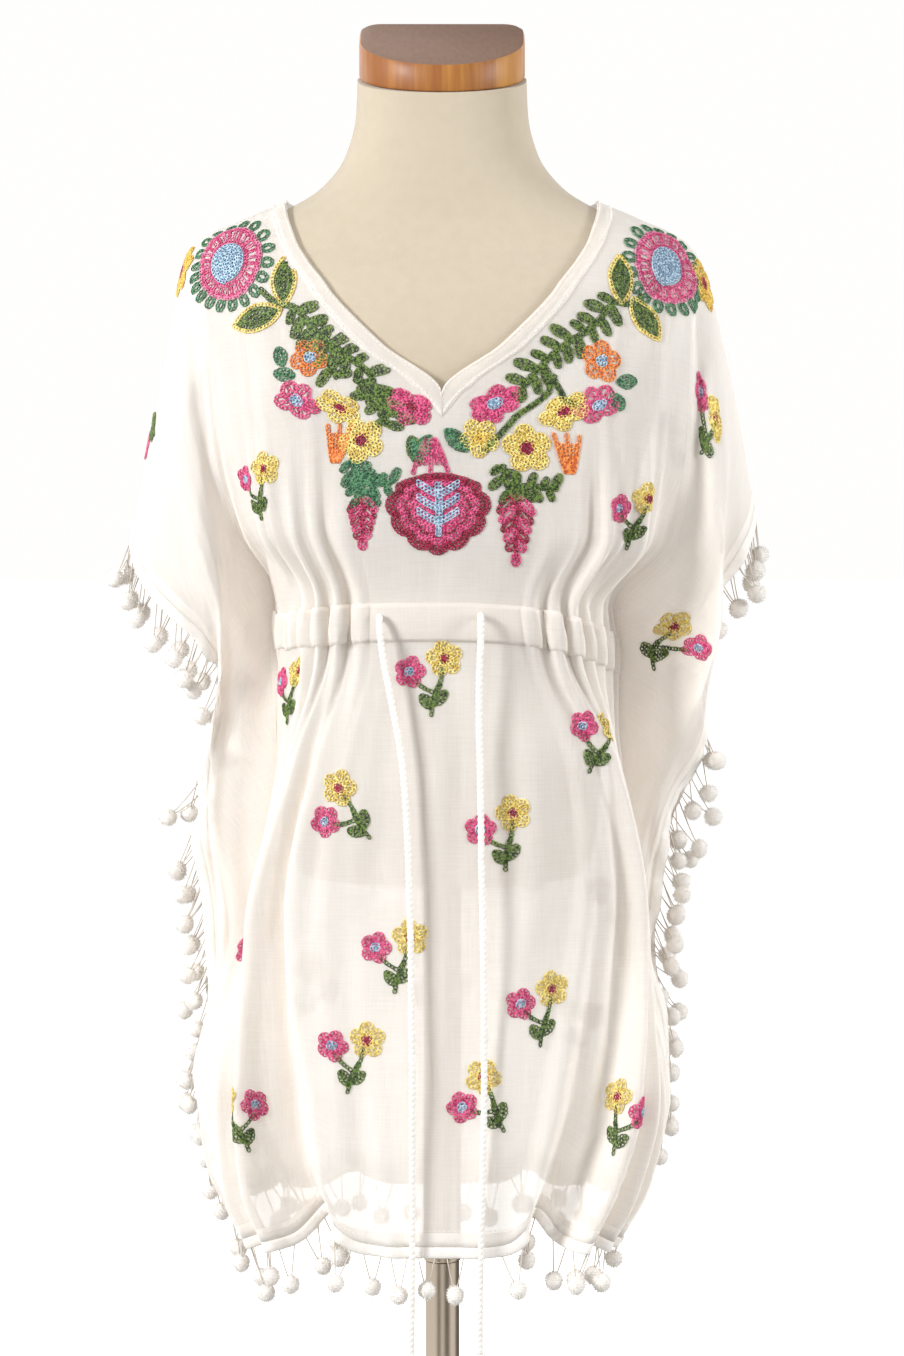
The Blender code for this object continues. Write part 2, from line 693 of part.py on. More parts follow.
def pompom_plan(panel, neighbours):
    """Which corners of the free edge carry a pompom, and where the middle of each hangs."""
    corners, ways, _ = border(panel)
    edge = corners + ways * (SEAM_GAP + BRAID_WIDTH)
    along = lengths(edge)
    plan = {}
    for k in range(POMPOMS_PER_PANEL):
        wanted = (k + FIRST_POMPOM[panel]) * along[-1] / POMPOMS_PER_PANEL
        for corner in np.argsort(abs(along - wanted))[:3]:
            if corner in plan or corner in (0, len(along) - 1):
                continue
            middle = neighbours.hang(panel, edge[corner], ways[corner])
            if middle is not None:
                plan[int(corner)] = middle
                break
    return along, plan


def strand(points, faces, root, middle):
    """A thread and its pompom, grown from the four corners of a root face."""
    corners = np.array([points[i] for i in root])
    start = corners.mean(axis=0)
    way = (middle - start) / np.linalg.norm(middle - start)
    flat = corners - start
    flat = flat - np.outer(flat @ way, way)
    flat = flat / np.maximum(np.linalg.norm(flat, axis=1), 1e-6)[:, None]
    rings = (
        (middle - way * POMPOM_RADIUS, THREAD_WIDTH / 2),
        (middle - way * POMPOM_RADIUS * 0.5, POMPOM_RADIUS * 0.87),
        (middle + way * POMPOM_RADIUS * 0.5, POMPOM_RADIUS * 0.87),
    )
    last = list(root)
    for centre, radius in rings:
        ring = list(range(len(points), len(points) + 4))
        points.extend(centre + flat * radius)
        faces.extend([last[k], last[(k + 1) % 4], ring[(k + 1) % 4], ring[k]] for k in range(4))
        last = ring
    points.append(middle + way * POMPOM_RADIUS)
    faces.extend([last[k], last[(k + 1) % 4], len(points) - 1] for k in range(4))


def make_braid(panel, neighbours):
    """The braid along a panel's free edge, with its pompoms grown from it."""
    along, plan = pompom_plan(panel, neighbours)
    corners, ways, up = border(panel)
    far, thick = SEAM_GAP + BRAID_WIDTH, BRAID_THICK / 2
    lines = [corners + ways * out + up * lift
             for out, lift in ((far, thick), (far, -thick), (SEAM_GAP, -thick), (SEAM_GAP, thick))]
    stops, roots = [], {}
    for corner, at in enumerate(along):
        if corner in plan:
            roots[len(stops)] = plan[corner]
            stops += [at - THREAD_WIDTH / 2, at + THREAD_WIDTH / 2]
        else:
            stops.append(at)
    sections = np.stack(
        [np.stack([np.interp(stops, along, line[:, k]) for k in range(3)], axis=1) for line in lines], axis=1
    )
    points, faces = list(sections.reshape(-1, 3)), []
    count = len(stops)
    for k in range(count - 1):
        a, b = 4 * k, 4 * (k + 1)
        for c in range(4):
            ring = [a + c, a + (c + 1) % 4, b + (c + 1) % 4, b + c]
            if c == 0 and k in roots:
                strand(points, faces, ring, roots[k])
            else:
                faces.append(ring)
    faces.append([0, 1, 2, 3])
    faces.append([4 * (count - 1) + c for c in (3, 2, 1, 0)])
    mesh = mesh_of(f"{panel}_braid", points, faces)
    face_out(mesh)
    place(f"{panel}_pompom_braid", mesh, "trim")


def ring_points(half_width, front, back, z, sides):
    """A level section of the dress form."""
    found = []
    for k in range(sides):
        turn = 2 * math.pi * k / sides
        c, s = math.cos(turn), math.sin(turn)
        power = 2 / FORM_ROUNDNESS
        x = half_width * math.copysign(abs(c) ** power, c)
        y = (front if s < 0 else back) * math.copysign(abs(s) ** power, s)
        tilt = NECK_TILT * max(0.0, z - NECK_TILT_FROM) / (FORM_RINGS[-1].z - NECK_TILT_FROM)
        found.append((x, y, z + y * tilt))
    return found


def make_form():
    """The torso and neck of the dress form, whole and smooth."""
    at = np.array([ring.z for ring in FORM_RINGS], float)
    heights = np.array([481, 487, 500, 530, 565, 600, 640, 680, 720, 755, 785, 810, 830, 844, 854, 862, 869,
                        876, 883, 890, 899, 911, 930, 963], float)
    columns = {}
    for column in ("half_width", "front", "back"):
        values = np.array([getattr(ring, column) for ring in FORM_RINGS], float)
        columns[column] = hermite(at, values, slopes(at, values), heights)
    points, faces = [], []
    for k, z in enumerate(heights):
        points += ring_points(*(columns[c][k] for c in ("half_width", "front", "back")), z, FORM_SIDES)
    for k in range(len(heights) - 1):
        for c in range(FORM_SIDES):
            a, b = k * FORM_SIDES + c, k * FORM_SIDES + (c + 1) % FORM_SIDES
            faces.append([a, b, b + FORM_SIDES, a + FORM_SIDES])
    faces.append(list(range(FORM_SIDES))[::-1])
    faces.append([(len(heights) - 1) * FORM_SIDES + c for c in range(FORM_SIDES)])
    mesh = mesh_of("form", points, faces)
    mesh.shade_smooth()
    place("dress_form", mesh, "jersey")


def cap_outline():
    """The D-shaped outline of the neck cap: a half ellipse at the front, flat at the back."""
    found = []
    for k in range(17):
        turn = math.pi + math.pi * k / 16
        found.append((CAP_HALF_WIDTH * math.cos(turn), CAP_FRONT * math.sin(turn)))
    corner = 11.0
    for side in (1, -1):
        turns = range(5) if side == 1 else range(4, -1, -1)
        for k in turns:
            turn = math.pi / 2 * k / 4
            x = CAP_HALF_WIDTH - corner + corner * math.cos(turn)
            found.append((side * x, CAP_BACK - corner + corner * math.sin(turn)))
    return found


def make_cap():
    """The wooden neck cap, thicker at the back than at the front."""
    ring = cap_outline()
    top = FORM_RINGS[-1].z + MEETING_GAP
    points = [(x, y, top + y * NECK_TILT) for x, y in ring]
    points += [
        (x, y, top + y * NECK_TILT + CAP_FRONT_THICK + (y + CAP_FRONT) * CAP_SLOPE) for x, y in ring
    ]
    count = len(ring)
    faces = [[k, (k + 1) % count, count + (k + 1) % count, count + k] for k in range(count)]
    faces += [list(range(count))[::-1], list(range(count, 2 * count))]
    mesh = mesh_of("cap", points, faces)
    face_out(mesh)
    made = place("neck_cap", mesh, "wood")
    bevel = made.modifiers.new("edge", "BEVEL")
    bevel.width = 2.2 * MM
    bevel.segments = 2
    bevel.limit_method = "ANGLE"
    bevel.angle_limit = math.radians(50)


def cylinder(name, radius, low, high, finish, round_edge=0.0):
    """An upright round bar between two heights."""
    bpy.ops.mesh.primitive_cylinder_add(
        vertices=POLE_SIDES,
        radius=radius * MM,
        depth=(high - low) * MM,
        location=(0, 0, (low + high) / 2 * MM),
    )
    made = bpy.context.object
    made.name = made.data.name = name
    made.data.materials.append(material(finish))
    for old in list(made.users_collection):
        old.objects.unlink(made)
    bpy.data.collections["kaftan_blouse"].objects.link(made)
    if round_edge:
        bevel = made.modifiers.new("edge", "BEVEL")
        bevel.width = round_edge * MM
        bevel.segments = 1
        bevel.limit_method = "ANGLE"
        bevel.angle_limit = math.radians(50)
    made.data.shade_smooth()
    made.data.set_sharp_from_angle(angle=math.radians(40))


def turned(name, profile, finish, steps):
    """A turned piece from a profile that runs from its top to its foot."""
    mesh = bpy.data.meshes.new(name)
    edges = [(k, k + 1) for k in range(len(profile) - 1)]
    mesh.from_pydata([(r * MM, 0, z * MM) for r, z in profile], edges, [])
    made = place(name, mesh, finish)
    screw = made.modifiers.new("turn", "SCREW")
    screw.steps = screw.render_steps = steps
    screw.use_merge_vertices = True
    screw.merge_threshold = 0.00005
    screw.use_smooth_shade = True
    return made


def make_stand():
    """The base, the two lengths of pole and the socket under the form."""
    edge = 2.0
    profile = (
        (0, HUB_TOP), (HUB_RADIUS - edge, HUB_TOP), (HUB_RADIUS, HUB_TOP - edge),
        (HUB_RADIUS, BASE_THICK + 3),
        (HUB_RADIUS + 5, BASE_THICK), (BASE_RADIUS - edge, BASE_THICK), (BASE_RADIUS, BASE_THICK - edge),
        (BASE_RADIUS, 0), (0, 0),
    )
    turned("stand_base", profile, "steel", 32)
    cylinder("lower_pole", LOWER_POLE_RADIUS, HUB_TOP + MEETING_GAP, POLE_STEP_Z - MEETING_GAP, "steel")
    form_foot = FORM_RINGS[0].z
    socket_foot = form_foot - MEETING_GAP - SOCKET_THICK
    cylinder("upper_pole", UPPER_POLE_RADIUS, POLE_STEP_Z, socket_foot - MEETING_GAP, "steel", round_edge=1.6)
    cylinder("form_socket", SOCKET_RADIUS, socket_foot, form_foot - MEETING_GAP, "steel")


def smooth_route(route, step=CORD_STEP):
    """The cord's route as an even line of points on a smooth curve through the chosen ones."""
    chosen = np.array(route, float)
    at = lengths(chosen)
    fine = np.linspace(0, at[-1], 400)
    curve = np.stack([hermite(at, chosen[:, k], slopes(at, chosen[:, k]), fine) for k in range(3)], axis=1)
    run = lengths(curve)
    bend = np.linspace(0, CORD_BEND, 4, endpoint=False)
    stops = np.concatenate([bend, np.linspace(CORD_BEND, run[-1], int((run[-1] - CORD_BEND) / step) + 1)])
    return np.stack([np.interp(stops, run, curve[:, k]) for k in range(3)], axis=1)


def make_cord(name, route):
    """One free end of the drawstring, with the bound bell on its end."""
    line = smooth_route(route)
    curve = bpy.data.curves.new(f"{name}_line", "CURVE")
    curve.dimensions = "3D"
    spline = curve.splines.new("POLY")
    spline.points.add(len(line) - 1)
    for point, place_at in zip(spline.points, line):
        point.co = (*(place_at * MM), 1.0)
    curve.bevel_depth = CORD_DIAMETER / 2 * MM
    curve.bevel_resolution = CORD_SIDES_LEVEL
    curve.use_fill_caps = True
    curve.materials.append(material("cord"))
    made = bpy.data.objects.new(name, curve)
    bpy.data.collections["kaftan_blouse"].objects.link(made)
    x, y, z = line[-1]
    top = z - MEETING_GAP
    profile = [(0, top), (CORD_DIAMETER / 2 + 0.6, top)]
    for share, width in ((0.10, 0.62), (0.35, 0.92), (0.62, 1.0), (0.85, 0.93), (1.0, 0.70)):
        profile.append((END_RADIUS * width, top - END_LENGTH * share))
    profile.append((0, top - END_LENGTH))
    bell = turned(f"{name}_end", profile, "cord", 12)
    bell.location = (x * MM, y * MM, 0)


def main():
    """Builds the whole part."""
    clear_scene()
    collection = bpy.data.collections.new("kaftan_blouse")
    bpy.context.scene.collection.children.link(collection)
    make_form()
    make_cap()
    make_stand()
    for panel in OUTWARD:
        make_panel(panel)
        make_casing(panel)
    make_binding()
    neighbours = Neighbours()
    for panel in OUTWARD:
        make_braid(panel, neighbours)
    make_cord("drawstring_left", LEFT_ROUTE)
    make_cord("drawstring_right", RIGHT_ROUTE)


main()
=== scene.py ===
"""A short-sleeve kaftan blouse with a drawstring waist, on a limbless dress form with a stand.

The CAD frame gives the places. The cut of the blouse is described as it is in the part's source:
a place on a panel is (across, down). Across runs from 0 at the neckline or the centre line, over 1
at the side seam, to 2 at the free edge. Down is the distance below the shoulder line in the flat
cut. Side is -1 on the viewer's left and +1 on the right. The tables and the cloth functions are in
millimetres, and every mesh is made in metres.
"""

from __future__ import annotations

import logging
import math
from collections.abc import Callable, Iterable, Sequence
from dataclasses import dataclass, field
from enum import Enum
from functools import cache
from typing import NamedTuple

import bmesh
import bpy
import numpy as np
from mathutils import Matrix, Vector
from mathutils.bvhtree import BVHTree

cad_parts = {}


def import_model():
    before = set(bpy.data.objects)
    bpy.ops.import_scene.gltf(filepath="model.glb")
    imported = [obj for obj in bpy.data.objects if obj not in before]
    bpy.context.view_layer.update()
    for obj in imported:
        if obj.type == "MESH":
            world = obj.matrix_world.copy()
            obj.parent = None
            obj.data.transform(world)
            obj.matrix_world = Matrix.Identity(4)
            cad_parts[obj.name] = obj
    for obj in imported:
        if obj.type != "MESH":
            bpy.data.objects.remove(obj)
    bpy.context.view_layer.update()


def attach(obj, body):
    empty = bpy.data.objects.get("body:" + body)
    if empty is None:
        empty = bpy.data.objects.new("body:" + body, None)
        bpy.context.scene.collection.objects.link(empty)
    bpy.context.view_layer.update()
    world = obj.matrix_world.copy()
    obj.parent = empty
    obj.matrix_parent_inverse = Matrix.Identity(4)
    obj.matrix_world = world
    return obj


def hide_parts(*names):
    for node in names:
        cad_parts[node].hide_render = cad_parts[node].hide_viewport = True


Array = np.ndarray
Node, Socket, Tree = bpy.types.Node, bpy.types.NodeSocket, bpy.types.NodeTree
Piece = bpy.types.Object
LOG = logging.getLogger("blouse")
MM = 0.001
SEED = 11

CLOTH = 0.9
HEM_DOWN = 645.0
CASING_TOP, CASING_FOOT = 256.0, 279.0
BRAID_WIDTH = 6.0
SEAM_GAP = 0.8
FORM_CLEARANCE = 2.6
SHOULDER_SPLIT = 0.25
SEAM_SPLIT = 1.2
FORM_ROUNDNESS = 2.3
NECK_TILT_FROM, NECK_TILT = 925.0, 0.2
GATHER_SPACING, GATHER_DEPTH = 0.1, 4.2
GATHER_ABOVE, GATHER_BELOW = 42.0, 60.0
FLANGE_WAVE_DEPTH, FLANGE_WAVE_LENGTH = 2.4, 84.0


class Panel(Enum):
    """The two cloths that the blouse is sewn from; the value is which way is out along -Y."""

    FRONT = 1
    BACK = -1

    @property
    def word(self) -> str:
        """Its word in piece and node names."""
        return self.name.lower()


# The photograph's view, for placing the embroidery: its plane and distance in mm, and its fall
VIEW_PLANE, VIEW_DISTANCE, VIEW_SLOPE = 50.0, 2600.0, 0.096

LEFT_ROUTE = ((-37, -82.5, 644.5), (-37, -85.4, 644.3), (-37, -87.8, 642.6), (-36.8, -89.2, 639),
    (-36.4, -90, 634), (-34.5, -91.5, 620), (-31.5, -94, 604), (-27.5, -97, 584), (-23.5, -99.5, 560),
    (-21, -102, 530), (-19.5, -104.5, 495), (-18.5, -107, 455), (-18, -109.5, 410), (-17.5, -112, 360),
    (-17.5, -113.5, 310), (-17.5, -114.5, 265), (-18, -115, 225), (-18.5, -115, 190))
RIGHT_ROUTE = ((23, -85.05, 645.5), (23, -88, 645.3), (23, -90.6, 643.6), (23, -92, 640), (23, -92.6, 635),
    (22.6, -93.8, 621), (22, -95.8, 605), (22, -97.6, 585), (22.5, -99.5, 560), (23, -102, 530),
    (23.5, -104.5, 495), (24.5, -107, 455), (25, -109.5, 410), (25, -112, 360), (24, -113.5, 310),
    (23, -114.5, 265), (22.5, -115, 235), (22.5, -115, 208))


class FormRing(NamedTuple):
    """A level section of the dress form."""

    z: float
    half_width: float
    front: float
    back: float


FORM_RINGS = tuple(map(FormRing._make, ((481, 87, 65, 64), (497, 93, 70, 68),
    (560, 98, 73, 71), (630, 97, 72, 70), (700, 113, 80, 76), (760, 129, 86, 80), (800, 137, 86, 80),
    (835, 146, 79, 72), (852, 149, 67, 61), (863, 143, 57, 53), (874, 120, 52, 49), (885, 94, 50, 46),
    (898, 73, 49, 43), (918, 58, 48, 38), (942, 52, 47, 34), (963, 51, 47, 33))))


class Level(NamedTuple):
    """One level down the cut: where the inner end of its rows lies on the front and on the back."""

    down: float
    front_x: float
    front_y: float
    front_z: float
    back_y: float
    back_z: float


LEVELS = tuple(map(Level._make, ((0, 93, 0, 890, 0, 890), (28, 87, -46, 867, 55, 869),
    (62, 66, -72, 837, 72, 836), (98, 35, -86, 806, 81, 801), (132, 0, -91, 777, 83, 768),
    (209, 0, -90, 700, 82, 698), (254, 0, -84, 655, 77, 655), (281, 0, -83, 628, 76, 628),
    (353, 0, -92, 556, 84, 556), (454, 0, -98, 455, 91, 455), (559, 0, -104, 350, 97, 350),
    (609, 0, -107, 300, 100, 300), (645, 0, -109, 264, 101, 264))))


class Reach(NamedTuple):
    """The outer stations of one level on one side of the front: the fold of the body, the side
    seam or armhole line, the belly of the sleeve or side flange, and its free edge."""

    fold_x: float
    fold_y: float
    seam_x: float
    seam_y: float
    seam_z: float
    belly_x: float
    belly_y: float
    edge_x: float
    edge_y: float
    edge_z: float


REACH_ROWS = {-1: ((120, 0, 151, 0, 862, 172, 0, 190, 0, 684),
    (117, -32, 150, -22, 850, 171, -15, 186, -14, 670),
    (110, -58, 147, -38, 826, 167, -27, 175, -26, 653),
    (99, -73, 143, -44, 793, 158, -38, 160, -30, 638),
    (93, -80, 138, -42, 754, 146, -44, 143, -24, 622), (88, -77, 122, -24, 690, 133, -34, 136, -9, 600),
    (72, -67, 102, 0, 650, 133, -24, 137, -4, 574), (72, -66, 102, 0, 623, 138, -16, 142, -2, 548),
    (90, -56, 99, 0, 553, 140, -6, 149, 1, 504), (118, -56, 103, 0, 452, 126, -2, 145, 1, 432),
    (124, -78, 138, -48, 350, 147, -34, 150, -18, 342),
    (120, -84, 134, -58, 302, 142, -44, 144, -28, 306),
    (104, -88, 118, -66, 265, 126, -52, 131, -36, 281)),
    1: ((120, 0, 151, 0, 862, 176, 0, 191, 0, 699), (118, -32, 152, -22, 850, 176, -16, 188, -14, 688),
    (111, -58, 151, -42, 824, 174, -32, 180, -24, 674),
    (101, -75, 150, -50, 790, 170, -44, 168, -20, 655),
    (97, -82, 148, -50, 748, 168, -50, 160, -14, 634), (98, -78, 138, -34, 684, 168, -44, 158, -6, 602),
    (78, -67, 108, 0, 641, 160, -34, 160, -4, 570), (80, -65, 108, 0, 612, 152, -24, 155, -3, 548),
    (106, -60, 104, 0, 545, 128, -10, 134, -4, 494), (126, -54, 107, 0, 450, 121, -4, 131, 0, 440),
    (122, -82, 132, -54, 350, 138, -38, 138, -20, 350),
    (108, -90, 122, -64, 300, 127, -48, 126, -30, 304),
    (90, -94, 102, -74, 266, 109, -60, 114, -42, 280))}
REACHES = {side: tuple(map(Reach._make, rows)) for side, rows in REACH_ROWS.items()}
# How far the back flange stands behind the mirror of the front one, level by level
BACK_FLANGE_SET = (0, 0, 0, 0, 4, 8, 10, 12, 15, 16, 4, 0, 0)


class Fold(NamedTuple):
    """A soft valley or ridge that runs down a panel: its depth is negative for a valley."""

    across_top: float
    across_low: float
    width: float
    depth: float
    start: float
    full: float
    fade: float


FOLDS = {(Panel.FRONT, -1): ((0.40, 0.29, 0.075, -26, 300, 620, 990),
    (0.62, 0.60, 0.070, -8, 300, 560, 990), (0.16, 0.17, 0.050, -3, 300, 420, 700),
    (1.12, 1.16, 0.090, -4, 10, 70, 190), (0.66, 0.52, 0.070, 4, 130, 200, 262)),
    (Panel.FRONT, 1): ((0.34, 0.27, 0.070, -25, 300, 620, 990), (0.55, 0.56, 0.065, -10, 290, 520, 990),
    (0.80, 0.78, 0.060, -6, 290, 480, 990), (1.10, 1.16, 0.090, -7, 10, 70, 190),
    (0.70, 0.48, 0.070, 5, 110, 190, 262)), (Panel.BACK, -1): ((0.26, 0.24, 0.075, -17, 290, 600, 990),
    (0.58, 0.56, 0.070, -13, 290, 580, 990), (0.80, 0.80, 0.060, -6, 290, 480, 990),
    (1.10, 1.16, 0.090, -6, 10, 70, 190)), (Panel.BACK, 1): ((0.30, 0.26, 0.075, -18, 290, 600, 990),
    (0.62, 0.60, 0.070, -12, 290, 580, 990), (1.10, 1.16, 0.090, -6, 10, 70, 190))}

# The V of the front, and the shallow curve of the back: half width and drop, at the binding's
# inner edge and at the edge of the panel under it
V_DOWN, V_FOOT = 132.0, 147.0
V_BINDING_WIDTHS = ((0, 10.3), (62, 11.5), (98, 14.5), (126, 15.5), (V_FOOT, 0))
NAPE_INNER = (93.0, 28.0)
NAPE_OUTER = (103.3, 38.0)

# Creases of the crinkled gauze: turns across, length down in mm for a turn, lean and depth in mm
CREASES = ((31.0, 21.0, 1.3, 0.34), (19.0, -34.0, 1.7, 0.5), (47.0, 16.0, 0.9, 0.22),
    (9.0, 47.0, 1.1, 0.75), (13.0, -27.0, 2.1, 0.4))
# Softer folds than the solids carry
SOFT_FOLDS = {(Panel.FRONT, -1): ((0.355, 0.262, 0.034, 6.0, 268, 380, 990),
    (0.410, 0.305, 0.026, -6.5, 268, 380, 990), (0.27, 0.20, 0.030, 3.6, 262, 330, 640),
    (0.45, 0.47, 0.040, 5.4, 262, 360, 990), (0.52, 0.56, 0.018, -2.2, 262, 340, 620),
    (0.66, 0.74, 0.036, 5.0, 262, 380, 990), (0.82, 0.86, 0.020, -2.6, 262, 350, 700),
    (0.22, 0.12, 0.030, 3.4, 262, 400, 990), (0.50, 0.30, 0.030, 3.6, 150, 225, 290),
    (0.36, 0.30, 0.024, -3.0, 170, 235, 290)),
    (Panel.FRONT, 1): ((0.350, 0.300, 0.034, 6.0, 290, 460, 990),
    (0.405, 0.343, 0.026, -6.5, 290, 460, 990), (0.22, 0.10, 0.032, 3.8, 262, 400, 990),
    (0.30, 0.18, 0.018, -2.4, 262, 330, 640), (0.44, 0.42, 0.038, 5.4, 262, 350, 990),
    (0.64, 0.68, 0.034, 5.0, 262, 380, 990), (0.72, 0.78, 0.018, -2.6, 262, 340, 700),
    (0.88, 0.92, 0.032, 4.6, 262, 400, 990), (0.52, 0.20, 0.030, 4.2, 130, 215, 290),
    (0.44, 0.10, 0.022, -3.2, 140, 225, 290), (0.66, 0.10, 0.028, -3.8, 120, 215, 290)),
    (Panel.BACK, -1): ((0.42, 0.44, 0.026, 3.2, 262, 360, 990), (0.70, 0.74, 0.022, 3.0, 262, 380, 990),
    (0.48, 0.30, 0.022, 2.4, 150, 225, 290)), (Panel.BACK, 1): ((0.46, 0.44, 0.026, 3.2, 262, 360, 990),
    (0.76, 0.80, 0.022, 3.0, 262, 380, 990), (0.12, 0.10, 0.022, 2.4, 262, 400, 990),
    (0.50, 0.30, 0.022, 2.4, 150, 225, 290))}


def slopes(at: Array, values: Array, flat_start: bool = False) -> Array:
    """Slopes at the points of a table that never overshoot it.

    Args:
        at: Where the table's points lie.
        values: The table's values there.
        flat_start: Whether the curve starts level.

    Returns:
        One slope for each point.
    """
    step = np.diff(at)
    rise = np.diff(values) / step
    inner = np.zeros(len(rise) - 1)
    same = rise[:-1] * rise[1:] > 0
    w1, w2 = 2 * step[1:] + step[:-1], step[1:] + 2 * step[:-1]
    safe = w1 / np.where(same, rise[:-1], 1) + w2 / np.where(same, rise[1:], 1)
    inner[same] = ((w1 + w2) / safe)[same]
    first = 0.0 if flat_start else rise[0]
    return np.concatenate([[first], inner, [rise[-1]]])


def hermite(at: Array, values: Array, tangents: Array, x: Array) -> Array:
    """The cubic through a table's points with those slopes, read at x.

    Args:
        at: Where the table's points lie.
        values: The table's values there.
        tangents: The slopes there.
        x: Where to read it.

    Returns:
        The values at x.
    """
    i = np.clip(np.searchsorted(at, x, side="right") - 1, 0, len(at) - 2)
    step = at[i + 1] - at[i]
    t = (x - at[i]) / step
    a, b = 2 * t**3 - 3 * t**2 + 1, t**3 - 2 * t**2 + t
    c, d = -2 * t**3 + 3 * t**2, t**3 - t**2
    return a * values[i] + b * step * tangents[i] + c * values[i + 1] + d * step * tangents[i + 1]


def read_column(rows: Sequence[NamedTuple], column: str, down: Array, flat_start: bool = False) -> Array:
    """A table's column read at distances down the cut.

    Args:
        rows: The table, one row for each level.
        column: The column's name.
        down: The distances.
        flat_start: Whether the curve starts level.

    Returns:
        The column's values there.
    """
    at = np.array([level.down for level in LEVELS], float)
    values = np.array([getattr(row, column) for row in rows], float)
    return hermite(at, values, slopes(at, values, flat_start), down)


def smooth(low: float, high: float, x: Array) -> Array:
    """A soft step from 0 at low to 1 at high."""
    t = np.clip((x - low) / (high - low), 0, 1)
    return t * t * (3 - 2 * t)


def unit(vectors: Array) -> Array:
    """The vectors at length one."""
    return vectors / np.maximum(np.linalg.norm(vectors, axis=-1), 1e-9)[..., None]


def lengths(points: Array) -> Array:
    """Distance along a line of points, from its start."""
    return np.concatenate([[0], np.cumsum(np.linalg.norm(np.diff(points, axis=0), axis=1))])


def form_section(z: Array, column: str) -> Array:
    """A column of the dress form's table read at heights.

    Args:
        z: The heights.
        column: The column's name.

    Returns:
        The form's size there.
    """
    at = np.array([ring.z for ring in FORM_RINGS], float)
    values = np.array([getattr(ring, column) for ring in FORM_RINGS], float)
    return hermite(at, values, slopes(at, values), np.clip(z, at[0], at[-1]))


def form_field(points: Array) -> Array:
    """How far outside the dress form's section each point is, as a share of the section."""
    z = points[..., 2]
    depth = np.where(points[..., 1] < 0, form_section(z, "front"), form_section(z, "back"))
    across = np.abs(points[..., 0]) / form_section(z, "half_width")
    through = np.abs(points[..., 1]) / depth
    return (across**FORM_ROUNDNESS + through**FORM_ROUNDNESS) ** (1 / FORM_ROUNDNESS) - 1


def clear_of_form(points: Array) -> Array:
    """The points, moved out to where the cloth clears the dress form."""
    moved = points.copy()
    half_step = 0.5 * np.eye(3)
    for _ in range(4):
        value = form_field(moved)
        slope = np.stack([form_field(moved + h) - form_field(moved - h) for h in half_step], axis=-1)
        steep = np.maximum(np.linalg.norm(slope, axis=-1), 1e-6)
        short = np.maximum(FORM_CLEARANCE - value / steep, 0)
        covered = (moved[..., 2] > FORM_RINGS[0].z - 12) & (short > 0)
        push = np.where(covered, np.minimum(short, 12), 0)
        moved += push[..., None] * slope / steep[..., None]
    return moved


def nape(size: tuple[float, float], down: Array) -> Array:
    """Half the width of the back neckline, of that half width and drop, down the cut."""
    return size[0] * np.sqrt(np.maximum(1 - (down / size[1]) ** 2, 0))


class Place(NamedTuple):
    """Places on one side of a panel, as arrays across and down."""

    panel: Panel
    side: int
    across: Array
    down: Array


Shape = Callable[[Place], Array]


def base_surface(place: Place) -> Array:
    """The panel before its folds.

    Args:
        place: The places.

    Returns:
        The points.
    """
    panel, side, across, down = place
    rows, sign, name = REACHES[side], panel.value, panel.word
    split = SHOULDER_SPLIT * (1 - smooth(0, 20, down))

    def reach(column: str) -> Array:
        """A column of the side's table at these distances down."""
        return read_column(rows, column, down, flat_start=not column.endswith("_y"))

    at = np.array([level.down for level in LEVELS], float)
    set_back = hermite(at, np.array(BACK_FLANGE_SET, float), np.zeros(len(LEVELS)), down)
    set_back = set_back * (panel is Panel.BACK)
    front = panel is Panel.FRONT
    inner_x = read_column(LEVELS, "front_x", down) if front else nape(NAPE_INNER, down)
    inner_y = read_column(LEVELS, f"{name}_y", down) * sign
    inner_z = read_column(LEVELS, f"{name}_z", down)
    at_seam = smooth(180, 240, down) * (1 - smooth(470, 545, down))
    stations_x = [inner_x, reach("fold_x"), reach("seam_x"), reach("belly_x"), reach("edge_x")]
    stations_y = [inner_y - split, reach("fold_y") - split, reach("seam_y") - split - SEAM_SPLIT * at_seam,
        reach("belly_y") - split - 0.6 * set_back, reach("edge_y") - split - set_back]
    seam_z, edge_z = reach("seam_z"), reach("edge_z")
    stations_z = [inner_z, 0.6 * inner_z + 0.4 * seam_z, seam_z, 0.5 * (seam_z + edge_z), edge_z]
    neck = V_DOWN if front else NAPE_INNER[1]
    closed = smooth(neck - 4, neck + 22, down)
    low = np.clip((across * 2).astype(int), 0, 3)
    t = across * 2 - low
    found = []
    for axis, stations in enumerate((stations_x, stations_y, stations_z)):
        steps = [2 * (b - a) for a, b in zip(stations, stations[1:])]
        tangents = [steps[0] * (1 - closed) + (2 * stations[1] * closed if axis == 0 else 0)]
        for before, after in zip(steps, steps[1:]):
            harmonic = 2 * before * after / np.where(before + after == 0, 1, before + after)
            tangents.append(np.where(before * after > 0, harmonic, 0))
        tangents.append(steps[-1])
        parts = (stations[:-1], tangents[:-1], stations[1:], tangents[1:])
        start, leave, end, arrive = (np.choose(low, part) for part in parts)
        found.append((2 * t**3 - 3 * t**2 + 1) * start + (t**3 - 2 * t**2 + t) * 0.5 * leave
            + (-2 * t**3 + 3 * t**2) * end + (t**3 - t**2) * 0.5 * arrive)
    x, y, z = found
    return np.stack([side * x, sign * y, z], axis=-1)


